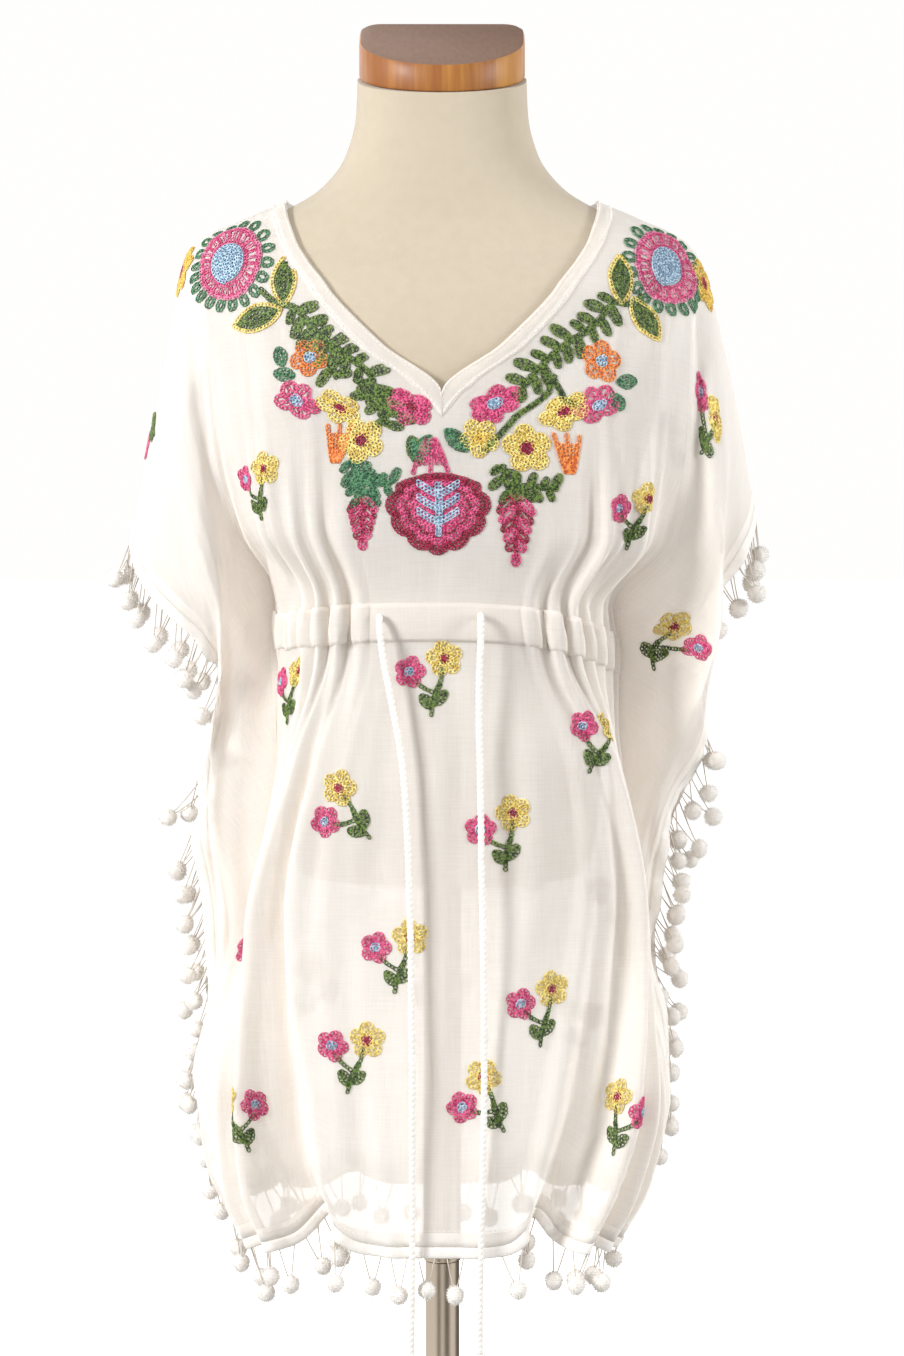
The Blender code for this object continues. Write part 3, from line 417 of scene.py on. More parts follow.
def crinkle(place: Place) -> Array:
    """The small uneven creases of gauze that has been tied at the waist, in millimetres."""
    across, down, phase = place.across * place.side, place.down, 0.9 * place.panel.value
    total = np.zeros_like(across)
    for k, (wide, tall, lean, depth) in enumerate(CREASES):
        turn = across * wide + down / tall + lean * np.sin(down / 70.0 + k + phase)
        patch = 0.5 + 0.5 * np.sin(across * (2.3 + 0.7 * k) + down / (90.0 + 13 * k) + 2.1 * k + phase)
        total = total + depth * patch * np.sin(turn + 1.3 * k + phase)
    return total


def waist_drop(side: int, across: Array) -> Array:
    """How far the drawn waist sinks towards the side seams."""
    return (15.0 if side > 0 else 8.0) * smooth(0.2, 1.0, across)


def relief(place: Place) -> Array:
    """How far the folds and gathers lift the cloth.

    Args:
        place: The places.

    Returns:
        The lift in millimetres.
    """
    panel, side, across, down = place
    down = down - waist_drop(side, across) * np.exp(-(((down - CASING_TOP) / 90) ** 2))
    uneven = 1 + 0.45 * np.sin(23.0 * across + 2.0 * side + panel.value)
    above = np.exp(-np.maximum(CASING_TOP - down, 0) / (GATHER_ABOVE * uneven))
    below = np.exp(-np.maximum(down - CASING_FOOT, 0) / (GATHER_BELOW * (2 - uneven * 0.8)))
    gathered = smooth(0.24, 0.36, across) * (1 - smooth(0.93, 1.0, across))
    turn = 2 * math.pi * across / GATHER_SPACING
    wave = np.cos(turn) + 0.28 * np.cos(2 * turn + 0.6) + 0.15 * np.cos(3.1 * turn)
    lift = GATHER_DEPTH * above * below * gathered * wave
    for fold in map(Fold._make, FOLDS[panel, side] + SOFT_FOLDS[panel, side]):
        share = smooth(fold.start, HEM_DOWN, down)
        centre = fold.across_top + (fold.across_low - fold.across_top) * share
        strength = smooth(fold.start, fold.full, down) * (1 - smooth(fold.fade - 60, fold.fade, down))
        deep = fold.depth < -15
        width = np.where(deep & (across < centre), 0.36 * fold.width, (1.5 if deep else 1.0) * fold.width)
        lift = lift + fold.depth * strength * np.exp(-(((across - centre) / width) ** 2))
    rippled = smooth(1.45, 2.0, across) * smooth(180, 280, down) * (1 - smooth(520, 600, down))
    wave = np.sin(2 * math.pi * down / FLANGE_WAVE_LENGTH + side)
    ruched = 0.7 * np.sin(2 * math.pi * down / 19.0 + side) * smooth(1.8, 2.0, across)
    quiet = smooth(30, 110, down) * (1 - 0.7 * smooth(600, 645, down))
    return lift + rippled * (FLANGE_WAVE_DEPTH * wave + ruched) + quiet * crinkle(place._replace(down=down))


def hem_rise(place: Place) -> Array:
    """How far the hem is drawn up where a deep fold reaches it."""
    rise = np.zeros_like(place.across)
    for fold in map(Fold._make, FOLDS[place.panel, place.side]):
        if fold.depth < -10 and fold.fade > 700:
            away = (place.across - fold.across_low) / fold.width / 0.8
            rise = rise + 0.75 * abs(fold.depth) * np.exp(-(away**2))
    return rise * smooth(470, HEM_DOWN, place.down)


def either_side(place: Place, way: str, reach: float) -> tuple[Place, Place]:
    """The places a small step before and after these, across or down."""
    top = 2 if way == "across" else HEM_DOWN
    low, high = (np.clip(getattr(place, way) + step, 0, top) for step in (-reach, reach))
    return place._replace(**{way: low}), place._replace(**{way: high})


def facing(shape: Shape, place: Place) -> Array:
    """Outward normals of a surface given as a function of a place."""
    along, fall = (shape(high) - shape(low)
        for low, high in (either_side(place, "across", 0.01), either_side(place, "down", 1.5)))
    return unit(np.cross(fall, along) * place.side * place.panel.value)


def middle_surface(place: Place) -> Array:
    """Points on the panel's middle surface, with its folds, clear of the dress form."""
    points = base_surface(place)
    points[..., 2] += hem_rise(place)
    return clear_of_form(points + facing(base_surface, place) * relief(place)[..., None])


def surface(panel: Panel, side: int, across: Array, down: Array, lift: float | Array = 0.0) -> Array:
    """Points on the panel's middle surface, or lifted off it.

    Args:
        panel: Front or back.
        side: -1 or +1.
        across: Places across.
        down: Places down.
        lift: How far off the surface, one number or one for each place.

    Returns:
        The points in millimetres.
    """
    place = Place(panel, side, *np.broadcast_arrays(np.asarray(across, float), np.asarray(down, float)))
    out = facing(middle_surface, place)
    return middle_surface(place) + out * np.broadcast_to(lift, place.across.shape)[..., None]


def per_unit(place: Place, way: str) -> Array:
    """Millimetres of cloth for one unit of across, or of down, at a place."""
    low, high = either_side(place, way, 0.02 if way == "across" else 2.0)
    moved = np.linalg.norm(base_surface(high) - base_surface(low), axis=-1)
    return moved / (getattr(high, way) - getattr(low, way))


def inner_limit(panel: Panel, side: int, down: Array, gap: float = 0.0) -> Array:
    """Where the panel starts across: the binding takes the cloth at the neckline."""
    if panel is Panel.FRONT:
        at, widths = np.array(V_BINDING_WIDTHS, float).T
        width = np.interp(down, at, widths)
    else:
        width = nape(NAPE_OUTER, down) - nape(NAPE_INNER, down)
    width = np.maximum(width - gap, 0)
    return width / per_unit(Place(panel, side, np.full_like(down, 0.03), down), "across")


def along(line: Array, at: Array, stops: Array) -> Array:
    """Rows that go with distances along a line, read at other distances."""
    return np.stack([np.interp(stops, at, column) for column in np.asarray(line).T], axis=1)


def bent(points: Sequence[Sequence[float]], count: int | None = None) -> Array:
    """A smooth line through a few points, flat or not, as that many points."""
    chosen = np.array(points, float)
    at = lengths(chosen)
    fine = np.linspace(0, at[-1], count or max(6, int(at[-1] / 1.5)))
    return np.stack([hermite(at, column, slopes(at, column), fine) for column in chosen.T], axis=1)


def smooth_line(route: Sequence[Sequence[float]], step: float) -> Array:
    """An even line of points, that far apart, on a smooth curve through the chosen ones."""
    curve = bent(route, 900)
    run = lengths(curve)
    return along(curve, run, np.linspace(0, run[-1], int(run[-1] / step) + 1))


# Shader helpers


class Wiring:
    """A node tree with short calls. A node that is given as a value stands for its first output."""

    def __init__(self, tree: Tree) -> None:
        """Takes a tree."""
        self.tree = tree

    def feed(self, node: Node, inputs: dict[int | str, object]) -> None:
        """Fills a node's sockets with values, or joins them to outputs."""
        for key, value in inputs.items():
            value = value.outputs[0] if isinstance(value, Node) else value
            if isinstance(value, Socket):
                self.tree.links.new(value, node.inputs[key])
            else:
                node.inputs[key].default_value = value

    def add(self, kind: str, inputs: dict | None = None, **settings: object) -> Node:
        """Adds a node.

        Args:
            kind: Its type's name; ShaderNode is left out.
            inputs: What goes into its sockets.
            **settings: Its own settings.

        Returns:
            The node.
        """
        node = self.tree.nodes.new(kind if "Node" in kind else f"ShaderNode{kind}")
        for name, value in settings.items():
            setattr(node, name, value)
        self.feed(node, inputs or {})
        return node

    def maths(self, operation: str, *values: object) -> Node:
        """A maths node."""
        return self.add("Math", dict(enumerate(values)), operation=operation)

    def times(self, first: object, second: object) -> Node:
        """Two values multiplied."""
        return self.maths("MULTIPLY", first, second)

    def plus(self, first: object, second: object) -> Node:
        """Two values added."""
        return self.maths("ADD", first, second)

    def scaled(self, value: object, factor: float, offset: object) -> Node:
        """A value times a factor, plus an offset."""
        return self.maths("MULTIPLY_ADD", value, factor, offset)

    def mix(self, share: object, first: object, second: object) -> Socket:
        """Two colours mixed."""
        return self.add("Mix", {0: share, 6: first, 7: second}, data_type="RGBA").outputs[2]

    def ramp(self, value: object, low: float, high: float) -> Node:
        """A value stretched to run softly from 0 at low to 1 at high."""
        return self.add("MapRange", {0: value, 1: low, 2: high}, interpolation_type="SMOOTHSTEP")

    def random(self, low: tuple, high: tuple, seed: Socket) -> Node:
        """A random vector for each point."""
        return self.add("FunctionNodeRandomValue", {0: low, 1: high, "Seed": seed}, data_type="FLOAT_VECTOR")

    def noise(self, vector: object, scale: float, detail: float = 3.0) -> Node:
        """Noise between 0 and 1."""
        return self.add("TexNoise", {"Vector": vector, "Scale": scale, "Detail": detail})

    def streaks(self, vector: object, scale: Sequence[float], detail: float) -> Node:
        """Noise of another scale along each axis."""
        return self.noise(self.add("Mapping", {0: vector, 3: scale}), 1.0, detail)

    def place(self) -> Socket:
        """Places on the object, in metres."""
        return self.add("TexCoord").outputs["Object"]

    def axes(self, vector: object) -> list[Socket]:
        """A vector's X, Y and Z."""
        return list(self.add("SeparateXYZ", {0: vector}).outputs)

    def bump(self, shader: Node, height: object, strength: float, depth: float) -> None:
        """Feeds a height from 0 to 1, which is that many metres deep, to a shader's normal."""
        bump = self.add("Bump", {"Strength": strength, "Distance": depth, "Height": height})
        self.feed(shader, {"Normal": bump})


def colour(red: int, green: int, blue: int) -> tuple[float, float, float, float]:
    """A colour on a screen's scale of 0 to 255, as the shader wants it."""
    shares = [c / 255 for c in (red, green, blue)]
    linear = [s / 12.92 if s <= 0.04045 else ((s + 0.055) / 1.055) ** 2.4 for s in shares]
    return (*linear, 1.0)


def grouped(name: str, inputs: dict[str, float | None], outputs: Sequence[str]) -> tuple[Wiring, Node, Node]:
    """A new shader group.

    Args:
        name: The group's name.
        inputs: Its inputs and their usual values, None for a vector.
        outputs: Its outputs, which are all numbers.

    Returns:
        Its wiring, and its input and output nodes.
    """
    wiring = Wiring(bpy.data.node_groups.new(name, "ShaderNodeTree"))
    sockets = wiring.tree.interface
    for key, value in inputs.items():
        if value is None:
            sockets.new_socket(key, in_out="INPUT", socket_type="NodeSocketVector")
        else:
            sockets.new_socket(key, in_out="INPUT", socket_type="NodeSocketFloat").default_value = value
    for key in outputs:
        sockets.new_socket(key, in_out="OUTPUT", socket_type="NodeSocketFloat")
    return wiring, wiring.add("NodeGroupInput"), wiring.add("NodeGroupOutput")


@cache
def weave_group() -> Tree:
    """Woven or knitted yarns: their height, and a mask of thick and thin places.

    Returns:
        The group, whose vector is in metres along and across the yarns.
    """
    inputs = {"Vector": None, "Yarns per metre": 1400.0, "Unevenness": 0.5}
    wiring, given, out = grouped("yarns", inputs, ("Height", "Slubs"))
    waves = [wiring.maths("SINE", wiring.times(wiring.times(part, given.outputs[1]), 2 * math.pi))
        for part in wiring.axes(given)[:2]]
    yarns = wiring.scaled(wiring.times(*waves), 0.5, 0.5)
    warp = wiring.streaks(given, (1500, 40, 30), 2.0)
    weft = wiring.streaks(given, (45, 1300, 30), 2.0)
    slubs = wiring.scaled(wiring.plus(warp, weft), 0.5, 0.0)
    height = wiring.plus(wiring.times(yarns, 0.5), wiring.times(slubs, given.outputs[2]))
    wiring.feed(out, {0: height, 1: slubs})
    return wiring.tree


@cache
def fibre_group() -> Tree:
    """Loose fibres: a fine height and a mottle, for fluff, cords and thread.

    Returns:
        The group, whose vector is in metres.
    """
    wiring, given, out = grouped("fibres", {"Vector": None, "Scale": 1500.0}, ("Height", "Mottle"))
    fine = wiring.noise(given, given.outputs[1], 4.0)
    wiring.feed(out, {0: fine, 1: wiring.noise(given, 160.0, 3.0)})
    return wiring.tree


@dataclass(frozen=True)
class Finish:
    """What every finish has: a name and its gloss."""

    name: str
    roughness: float = 0.8
    sheen: float = 0.0
    glow: float = 0.0

    def wire(self, wiring: Wiring, shader: Node) -> None:
        """Adds this finish's own nodes.

        Args:
            wiring: The material's nodes.
            shader: Its Principled shader.
        """
        raise NotImplementedError

    @cache
    def material(self) -> bpy.types.Material:
        """The material, made once."""
        made = bpy.data.materials.new(self.name)
        made.use_nodes = True
        wiring, shader = Wiring(made.node_tree), made.node_tree.nodes["Principled BSDF"]
        wiring.feed(shader, {"Roughness": self.roughness})
        if self.glow:
            wiring.feed(shader, {"Subsurface Weight": self.glow, "Subsurface Radius": (1.0, 0.93, 0.86),
                "Subsurface Scale": 0.006})
        if self.sheen:
            wiring.feed(shader, {"Sheen Weight": self.sheen, "Sheen Roughness": 0.5})
        self.wire(wiring, shader)
        return made


@dataclass(frozen=True)
class Gauze(Finish):
    """The thin crinkled cotton: more or less sheer with its yarns, so what is behind shows."""

    warm: tuple = colour(254, 245, 235)
    shade: tuple = colour(251, 241, 230)
    cover: float = 0.79
    crinkle: float = 0.5
    hemmed: bool = False

    def wire(self, wiring: Wiring, shader: Node) -> None:
        """Yarns, slubs and fine crinkles along the cut, in colour, cover and height."""
        cut = wiring.add("UVMap", uv_map="cut").outputs[0]
        yarns = wiring.add("Group", {0: cut}, node_tree=weave_group())
        slubs = wiring.ramp(yarns.outputs[1], 0.32, 0.68)
        clouds = wiring.scaled(wiring.noise(cut, 26.0, 3.0), 0.10, -0.05)
        cover = wiring.plus(wiring.scaled(slubs, 0.03, self.cover - 0.015), clouds)
        if self.hemmed:
            from_edge, from_seam, _ = wiring.axes(wiring.add("UVMap", uv_map="edge"))
            hem = wiring.maths("LESS_THAN", from_edge, 0.0085)
            seam = wiring.maths("LESS_THAN", from_seam, 0.003)
            cover = wiring.scaled(wiring.maths("MAXIMUM", hem, wiring.times(seam, 0.35)), 0.2, cover)
        inner = wiring.add("NewGeometry").outputs["Backfacing"]
        cover = wiring.times(cover, wiring.maths("SUBTRACT", 1.0, inner))
        wiring.feed(shader, {"Base Color": wiring.mix(slubs, self.shade, self.warm), "Alpha": cover})
        streaks = wiring.times(wiring.streaks(cut, (300, 42, 60), 3.0), 0.5 * self.crinkle)
        creases = wiring.times(wiring.streaks(cut, (62, 24, 30), 4.0), 1.6 * self.crinkle)
        height = wiring.plus(wiring.plus(wiring.times(yarns, 0.07), streaks), creases)
        wiring.bump(shader, height, 0.6, 0.0016)


@dataclass(frozen=True)
class Fluff(Finish):
    """Ivory cotton yarn: the pompoms, their threads, the braid and the cords; the pompom threads' darker tone
    is painted shade.
    """

    light: tuple = colour(253, 250, 246)
    dark: tuple = colour(238, 232, 224)
    scale: float = 1500.0
    depth: float = 0.0005

    def wire(self, wiring: Wiring, shader: Node) -> None:
        """Fibres in colour and height."""
        fibres = wiring.add("Group", {0: wiring.place(), 1: self.scale}, node_tree=fibre_group())
        mottle = wiring.times(wiring.ramp(fibres.outputs[1], 0.3, 0.7), 0.4)
        shade = wiring.mix(wiring.scaled(fibres, 0.6, mottle), self.dark, self.light)
        wiring.feed(shader, {"Base Color": shade})
        wiring.bump(shader, fibres, 0.6, self.depth)


@dataclass(frozen=True)
class Floss(Finish):
    """Shiny two-tone embroidery thread."""

    light: tuple = (1.0, 1.0, 1.0, 1.0)
    dark: tuple = (0.5, 0.5, 0.5, 1.0)

    def wire(self, wiring: Wiring, shader: Node) -> None:
        """A tone that changes from stitch to stitch, and fine strands: the thread's own two tones, with their
        contrast raised as painted highlight and shade.
        """
        place = wiring.place()
        tone = wiring.ramp(wiring.noise(place, 620.0, 1.0), 0.40, 0.60)
        # Painted shade: the dark tone is deepened further, for the shadows between the links
        deep = tuple(0.8 * part for part in self.dark[:3]) + (1.0,)
        wiring.feed(shader, {"Base Color": wiring.mix(tone, deep, self.light)})
        wiring.bump(shader, wiring.add("Group", {0: place, 1: 3200.0}, node_tree=fibre_group()), 0.5, 0.0002)


@dataclass(frozen=True)
class Jersey(Finish):
    """The form's fine cotton knit."""

    light: tuple = colour(201, 189, 169)
    dark: tuple = colour(188, 175, 154)

    def wire(self, wiring: Wiring, shader: Node) -> None:
        """Knit stitches up the form, with a soft mottle."""
        place = wiring.place()
        x, y, z = wiring.axes(place)
        around = wiring.times(wiring.maths("ARCTAN2", x, y), 0.1)
        flat = wiring.add("CombineXYZ", {0: around, 1: z})
        knit = wiring.add("Group", {0: flat, 1: 820.0, 2: 0.35}, node_tree=weave_group())
        mottle = wiring.ramp(wiring.noise(place, 140.0, 4.0), 0.25, 0.75)
        tone = wiring.scaled(knit, 0.7, wiring.times(mottle, 0.25))
        wiring.feed(shader, {"Base Color": wiring.mix(tone, self.dark, self.light)})
        wiring.bump(shader, knit, 0.5, 0.0004)


@dataclass(frozen=True)
class Pine(Finish):
    """The neck cap: upright glued strips of pine under satin lacquer; the top face is painted greyer, a
    painted reflection of the bright room in the lacquer.
    """

    light: tuple = colour(186, 130, 58)
    dark: tuple = colour(140, 80, 28)
    # The top face's colour: a painted reflection of the room in the lacquer, greyer than the wood
    top: tuple = colour(146, 116, 98)

    def wire(self, wiring: Wiring, shader: Node) -> None:
        """Strips, upright grain with pores, and the painted reflection that greys the top face."""
        place = wiring.place()
        strip = wiring.maths("FLOOR", wiring.times(wiring.axes(place)[0], 62.0))
        tint = wiring.add("TexWhiteNoise", {1: strip}, noise_dimensions="1D")
        shift = wiring.add("CombineXYZ", {2: wiring.times(tint, 3.0)})
        shifted = wiring.add("VectorMath", {0: place, 1: shift}, operation="ADD")
        grain = wiring.streaks(shifted, (420, 160, 22), 5.0)
        rings = wiring.streaks(shifted, (110, 60, 9), 2.0)
        tone = wiring.plus(wiring.times(grain, 0.45), wiring.times(rings, 0.45))
        tone = wiring.scaled(tint, 0.30, wiring.maths("SUBTRACT", tone, 0.12))
        side = wiring.mix(wiring.ramp(tone, 0.2, 0.8), self.dark, self.light)
        # Painted reflection: faces that point up get the greyer top colour instead of the wood's own
        flat = wiring.mix(wiring.times(grain, 0.8), self.top, colour(112, 84, 68))
        up = wiring.ramp(wiring.axes(wiring.add("NewGeometry").outputs["Normal"])[2], 0.55, 0.85)
        wiring.feed(shader, {"Base Color": wiring.mix(up, side, flat), "Coat Weight": 0.05,
            "Coat Roughness": 0.22})
        wiring.bump(shader, grain, 0.25, 0.0004)


@dataclass(frozen=True)
class SatinSteel(Finish):
    """Brushed stainless tube and base."""

    tone: tuple = colour(204, 190, 172)
    across: bool = False

    def wire(self, wiring: Wiring, shader: Node) -> None:
        """Fine brush marks round the tube, or in rings on the base, and faint smudges."""
        place = wiring.place()
        if self.across:
            squares = [wiring.maths("POWER", part, 2.0) for part in wiring.axes(place)[:2]]
            radius = wiring.add("CombineXYZ", {0: wiring.maths("SQRT", wiring.plus(*squares))})
            marks = wiring.noise(radius, 1800.0, 3.0)
        else:
            marks = wiring.streaks(place, (60, 60, 2600), 3.0)
        smudge = wiring.times(wiring.noise(place, 24.0, 4.0), 0.35)
        wiring.feed(shader, {"Base Color": wiring.mix(smudge, self.tone, colour(184, 168, 148)),
            "Metallic": 1.0, "Roughness": wiring.scaled(marks, 0.16, self.roughness - 0.06)})
        wiring.bump(shader, marks, 0.2, 0.0001)


GAUZE = Gauze("crinkled_gauze", roughness=0.9, glow=0.5, hemmed=True)
DOUBLED_GAUZE = Gauze("doubled_gauze", roughness=0.9, glow=0.5, cover=0.75, crinkle=0.5)
POMPOM_YARN = Fluff("pompom_yarn", roughness=0.95, sheen=0.6, scale=1300.0, depth=0.0008)
BRAID_YARN = Fluff("braid_yarn", roughness=0.9, sheen=0.3, scale=2200.0)
CORD_YARN = Fluff("cord_yarn", roughness=0.65, sheen=0.3, light=colour(252, 250, 246),
    dark=colour(232, 227, 219), scale=2600.0, depth=0.0003)
SEWING_THREAD = Fluff("sewing_thread", roughness=0.7, light=colour(246, 238, 230),
    dark=colour(240, 235, 228), scale=3000.0, depth=0.0001)
# Painted shade: the ivory threads get a darker grey-beige, for how dark the thin threads look against the
# white
SHADED_POMPOM_THREAD = Fluff("pompom_thread", roughness=0.7, light=colour(226, 217, 206),
    dark=colour(192, 181, 168), scale=3000.0, depth=0.0001)
FORM_JERSEY = Jersey("form_jersey", roughness=0.95, sheen=0.2)
NECK_PINE = Pine("neck_pine", roughness=0.5)
POLE_STEEL = SatinSteel("pole_steel", roughness=0.3)
BASE_STEEL = SatinSteel("base_steel", roughness=0.38, across=True)


# Mesh helpers


def mesh_object(name: str, points: Array, faces: Sequence[Sequence[int]], finish: Finish,
        maps: dict[str, Array] | None = None) -> Piece:
    """A shaded object from points in millimetres.

    Args:
        name: The piece's name.
        points: Its points.
        faces: Its faces.
        finish: Its finish.
        maps: Flat places of each point in metres, by the name of their UV map.

    Returns:
        The object, in the scene.
    """
    mesh = bpy.data.meshes.new(name)
    mesh.from_pydata((np.asarray(points) * MM).tolist(), [], [list(map(int, face)) for face in faces])
    corner = np.empty(len(mesh.loops), np.int32)
    mesh.loops.foreach_get("vertex_index", corner)
    for label, flat in (maps or {}).items():
        layer = mesh.uv_layers.new(name=label)
        layer.data.foreach_set("uv", np.asarray(flat, np.float32)[corner].ravel())
    mesh.shade_smooth()
    made = bpy.data.objects.new(name, mesh)
    made.data.materials.append(finish.material())
    bpy.context.scene.collection.objects.link(made)
    return made


def grid_faces(rows: int, columns: int, first: int = 0, flip: bool = False, ring: bool = False) -> Array:
    """Quads of a grid of points stored row by row.

    Args:
        rows: How many rows.
        columns: How many columns.
        first: The first point's number.
        flip: Whether to face the other way.
        ring: Whether each row closes on itself.

    Returns:
        The quads.
    """
    r, c = np.meshgrid(np.arange(rows - 1), np.arange(columns if ring else columns - 1), indexing="ij")
    a, b = r * columns + c, r * columns + (c + 1) % columns
    quads = np.stack([a, a + columns, b + columns, b], axis=-1).reshape(-1, 4) + first
    return quads[:, ::-1] if flip else quads


def add_wall(piece: Piece, thickness: float) -> None:
    """Gives an open surface its thickness, half on each side."""
    wall = piece.modifiers.new("wall", "SOLIDIFY")
    wall.thickness = thickness * MM
    wall.offset = 0.0


def keep(piece: Piece, slot: str, *nodes: str) -> Piece:
    """Rides a finished piece on the body and hides the CAD nodes that it stands for.

    Args:
        piece: The piece.
        slot: Its material slot name; not used.
        *nodes: The CAD nodes that it stands for.

    Returns:
        The piece.
    """
    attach(piece, "root")
    if nodes:
        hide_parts(*nodes)
    LOG.info("%s: %d faces", piece.name, len(piece.data.polygons))
    return piece


def capped(rows: int, sides: int, first: int = 0, flip: bool = False) -> list[list[int]]:
    """Faces of rings of points with a cap at both ends.

    Args:
        rows: How many rings.
        sides: How many points a ring has.
        first: The first point's number.
        flip: Whether to face the other way.

    Returns:
        The faces.
    """
    last = first + (rows - 1) * sides
    ends = [list(range(first, first + sides)), list(range(last, last + sides))]
    ends[0 if flip else 1].reverse()
    return [*grid_faces(rows, sides, first, flip, ring=True).tolist(), *ends]


def around(sides: int) -> Array:
    """Even turns round a ring, in radians."""
    return np.linspace(0, 2 * math.pi, sides, endpoint=False)


def tube(line: Array, radius: float, sides: int, first: int = 0) -> tuple[Array, list]:
    """A closed tube along a line of points.

    Args:
        line: The line's points.
        radius: Its radius.
        sides: How many sides.
        first: The number of its first point.

    Returns:
        Its points and its faces.
    """
    run = unit(np.gradient(line, axis=0))
    guide = np.array([0.0, 0.0, 1.0]) if abs(run[0][2]) < 0.8 else np.array([1.0, 0.0, 0.0])
    side = [unit(np.cross(run[0], guide))]
    for way in run[1:]:
        side.append(unit(side[-1] - way * (side[-1] @ way)))
    across, turn = np.array(side), around(sides)[None, :, None]
    ring = across[:, None] * np.cos(turn) + np.cross(run, across)[:, None] * np.sin(turn)
    return (line[:, None] + ring * radius).reshape(-1, 3), capped(len(line), sides, first, flip=True)


# The blouse


@dataclass
class Cloth:
    """One half of a panel as a fine grid, whose u and v are its places on the flat cut."""

    panel: Panel
    side: int
    body_columns: int = 84
    flange_columns: int = 34
    rows: int = 158
    room: float = BRAID_WIDTH + SEAM_GAP

    def __post_init__(self) -> None:
        """Makes the grid and measures along it."""
        across, self.v = self.places()
        self.points = surface(self.panel, self.side, across, self.v)
        rise, run = np.gradient(self.points, axis=0), np.gradient(self.points, axis=1)
        self.normals = unit(np.cross(rise, run) * self.side * self.panel.value)
        self.both = np.concatenate([self.points, self.normals], axis=2)
        steps, falls = (np.linalg.norm(np.diff(self.points, axis=k), axis=2) for k in (1, 0))
        reach = np.pad(np.cumsum(steps, axis=1), ((0, 0), (1, 0)))
        down, front = self.v[:, 0], self.panel is Panel.FRONT
        start = read_column(LEVELS, "front_x", down) if front else nape(NAPE_INNER, down)
        self.u = start[:, None] + reach
        self.side_distance = reach[:, -1:] - reach
        self.edge_distance = np.pad(np.cumsum(falls[::-1], axis=0)[::-1], ((0, 1), (0, 0)))

    def places(self) -> tuple[Array, Array]:
        """The grid of places, which leaves room for the braid at the free edge.

        Returns:
            Across and down.
        """
        body = np.linspace(0, 1, self.body_columns + 1)
        flange = np.linspace(1, 2, self.flange_columns + 1)[1:]
        share = np.linspace(0, 1, self.rows)
        levels = HEM_DOWN * (0.35 * share**1.6 + 0.65 * share)
        across, down = np.meshgrid(np.concatenate([body, flange]), levels)
        short = self.room / per_unit(Place(self.panel, self.side, across[-1], down[-1] - 2), "down")
        down = down - smooth(560, HEM_DOWN, down) * short
        first = inner_limit(self.panel, self.side, down, gap=4.0)
        near_edge = Place(self.panel, self.side, np.full_like(down, 1.98), down)
        last = 2 - self.room / per_unit(near_edge, "across")
        return np.where(across <= 1, first + (1 - first) * across, 1 + (across - 1) * (last - 1)), down

    def at(self, u: Array, v: Array) -> tuple[Array, Array]:
        """Points and normals at places on the flat cut.

        Args:
            u: Distances from the centre line, without a sign.
            v: Distances down.

        Returns:
            The points and the normals.
        """
        rows = self.v[:, 0]
        row = np.clip(np.searchsorted(rows, v) - 1, 0, len(rows) - 2)
        part = np.clip((v - rows[row]) / (rows[row + 1] - rows[row]), 0, 1)[:, None]
        ends = []
        for line in (row, row + 1):
            before = [np.searchsorted(self.u[k], reach) - 1 for k, reach in zip(line, u)]
            column = np.clip(before, 0, self.u.shape[1] - 2)
            low, high = self.u[line, column], self.u[line, column + 1]
            t = np.clip((u - low) / np.maximum(high - low, 1e-6), 0, 1)[:, None]
            ends.append(self.both[line, column] * (1 - t) + self.both[line, column + 1] * t)
        mixed = ends[0] * (1 - part) + ends[1] * part
        return mixed[:, :3], unit(mixed[:, 3:])


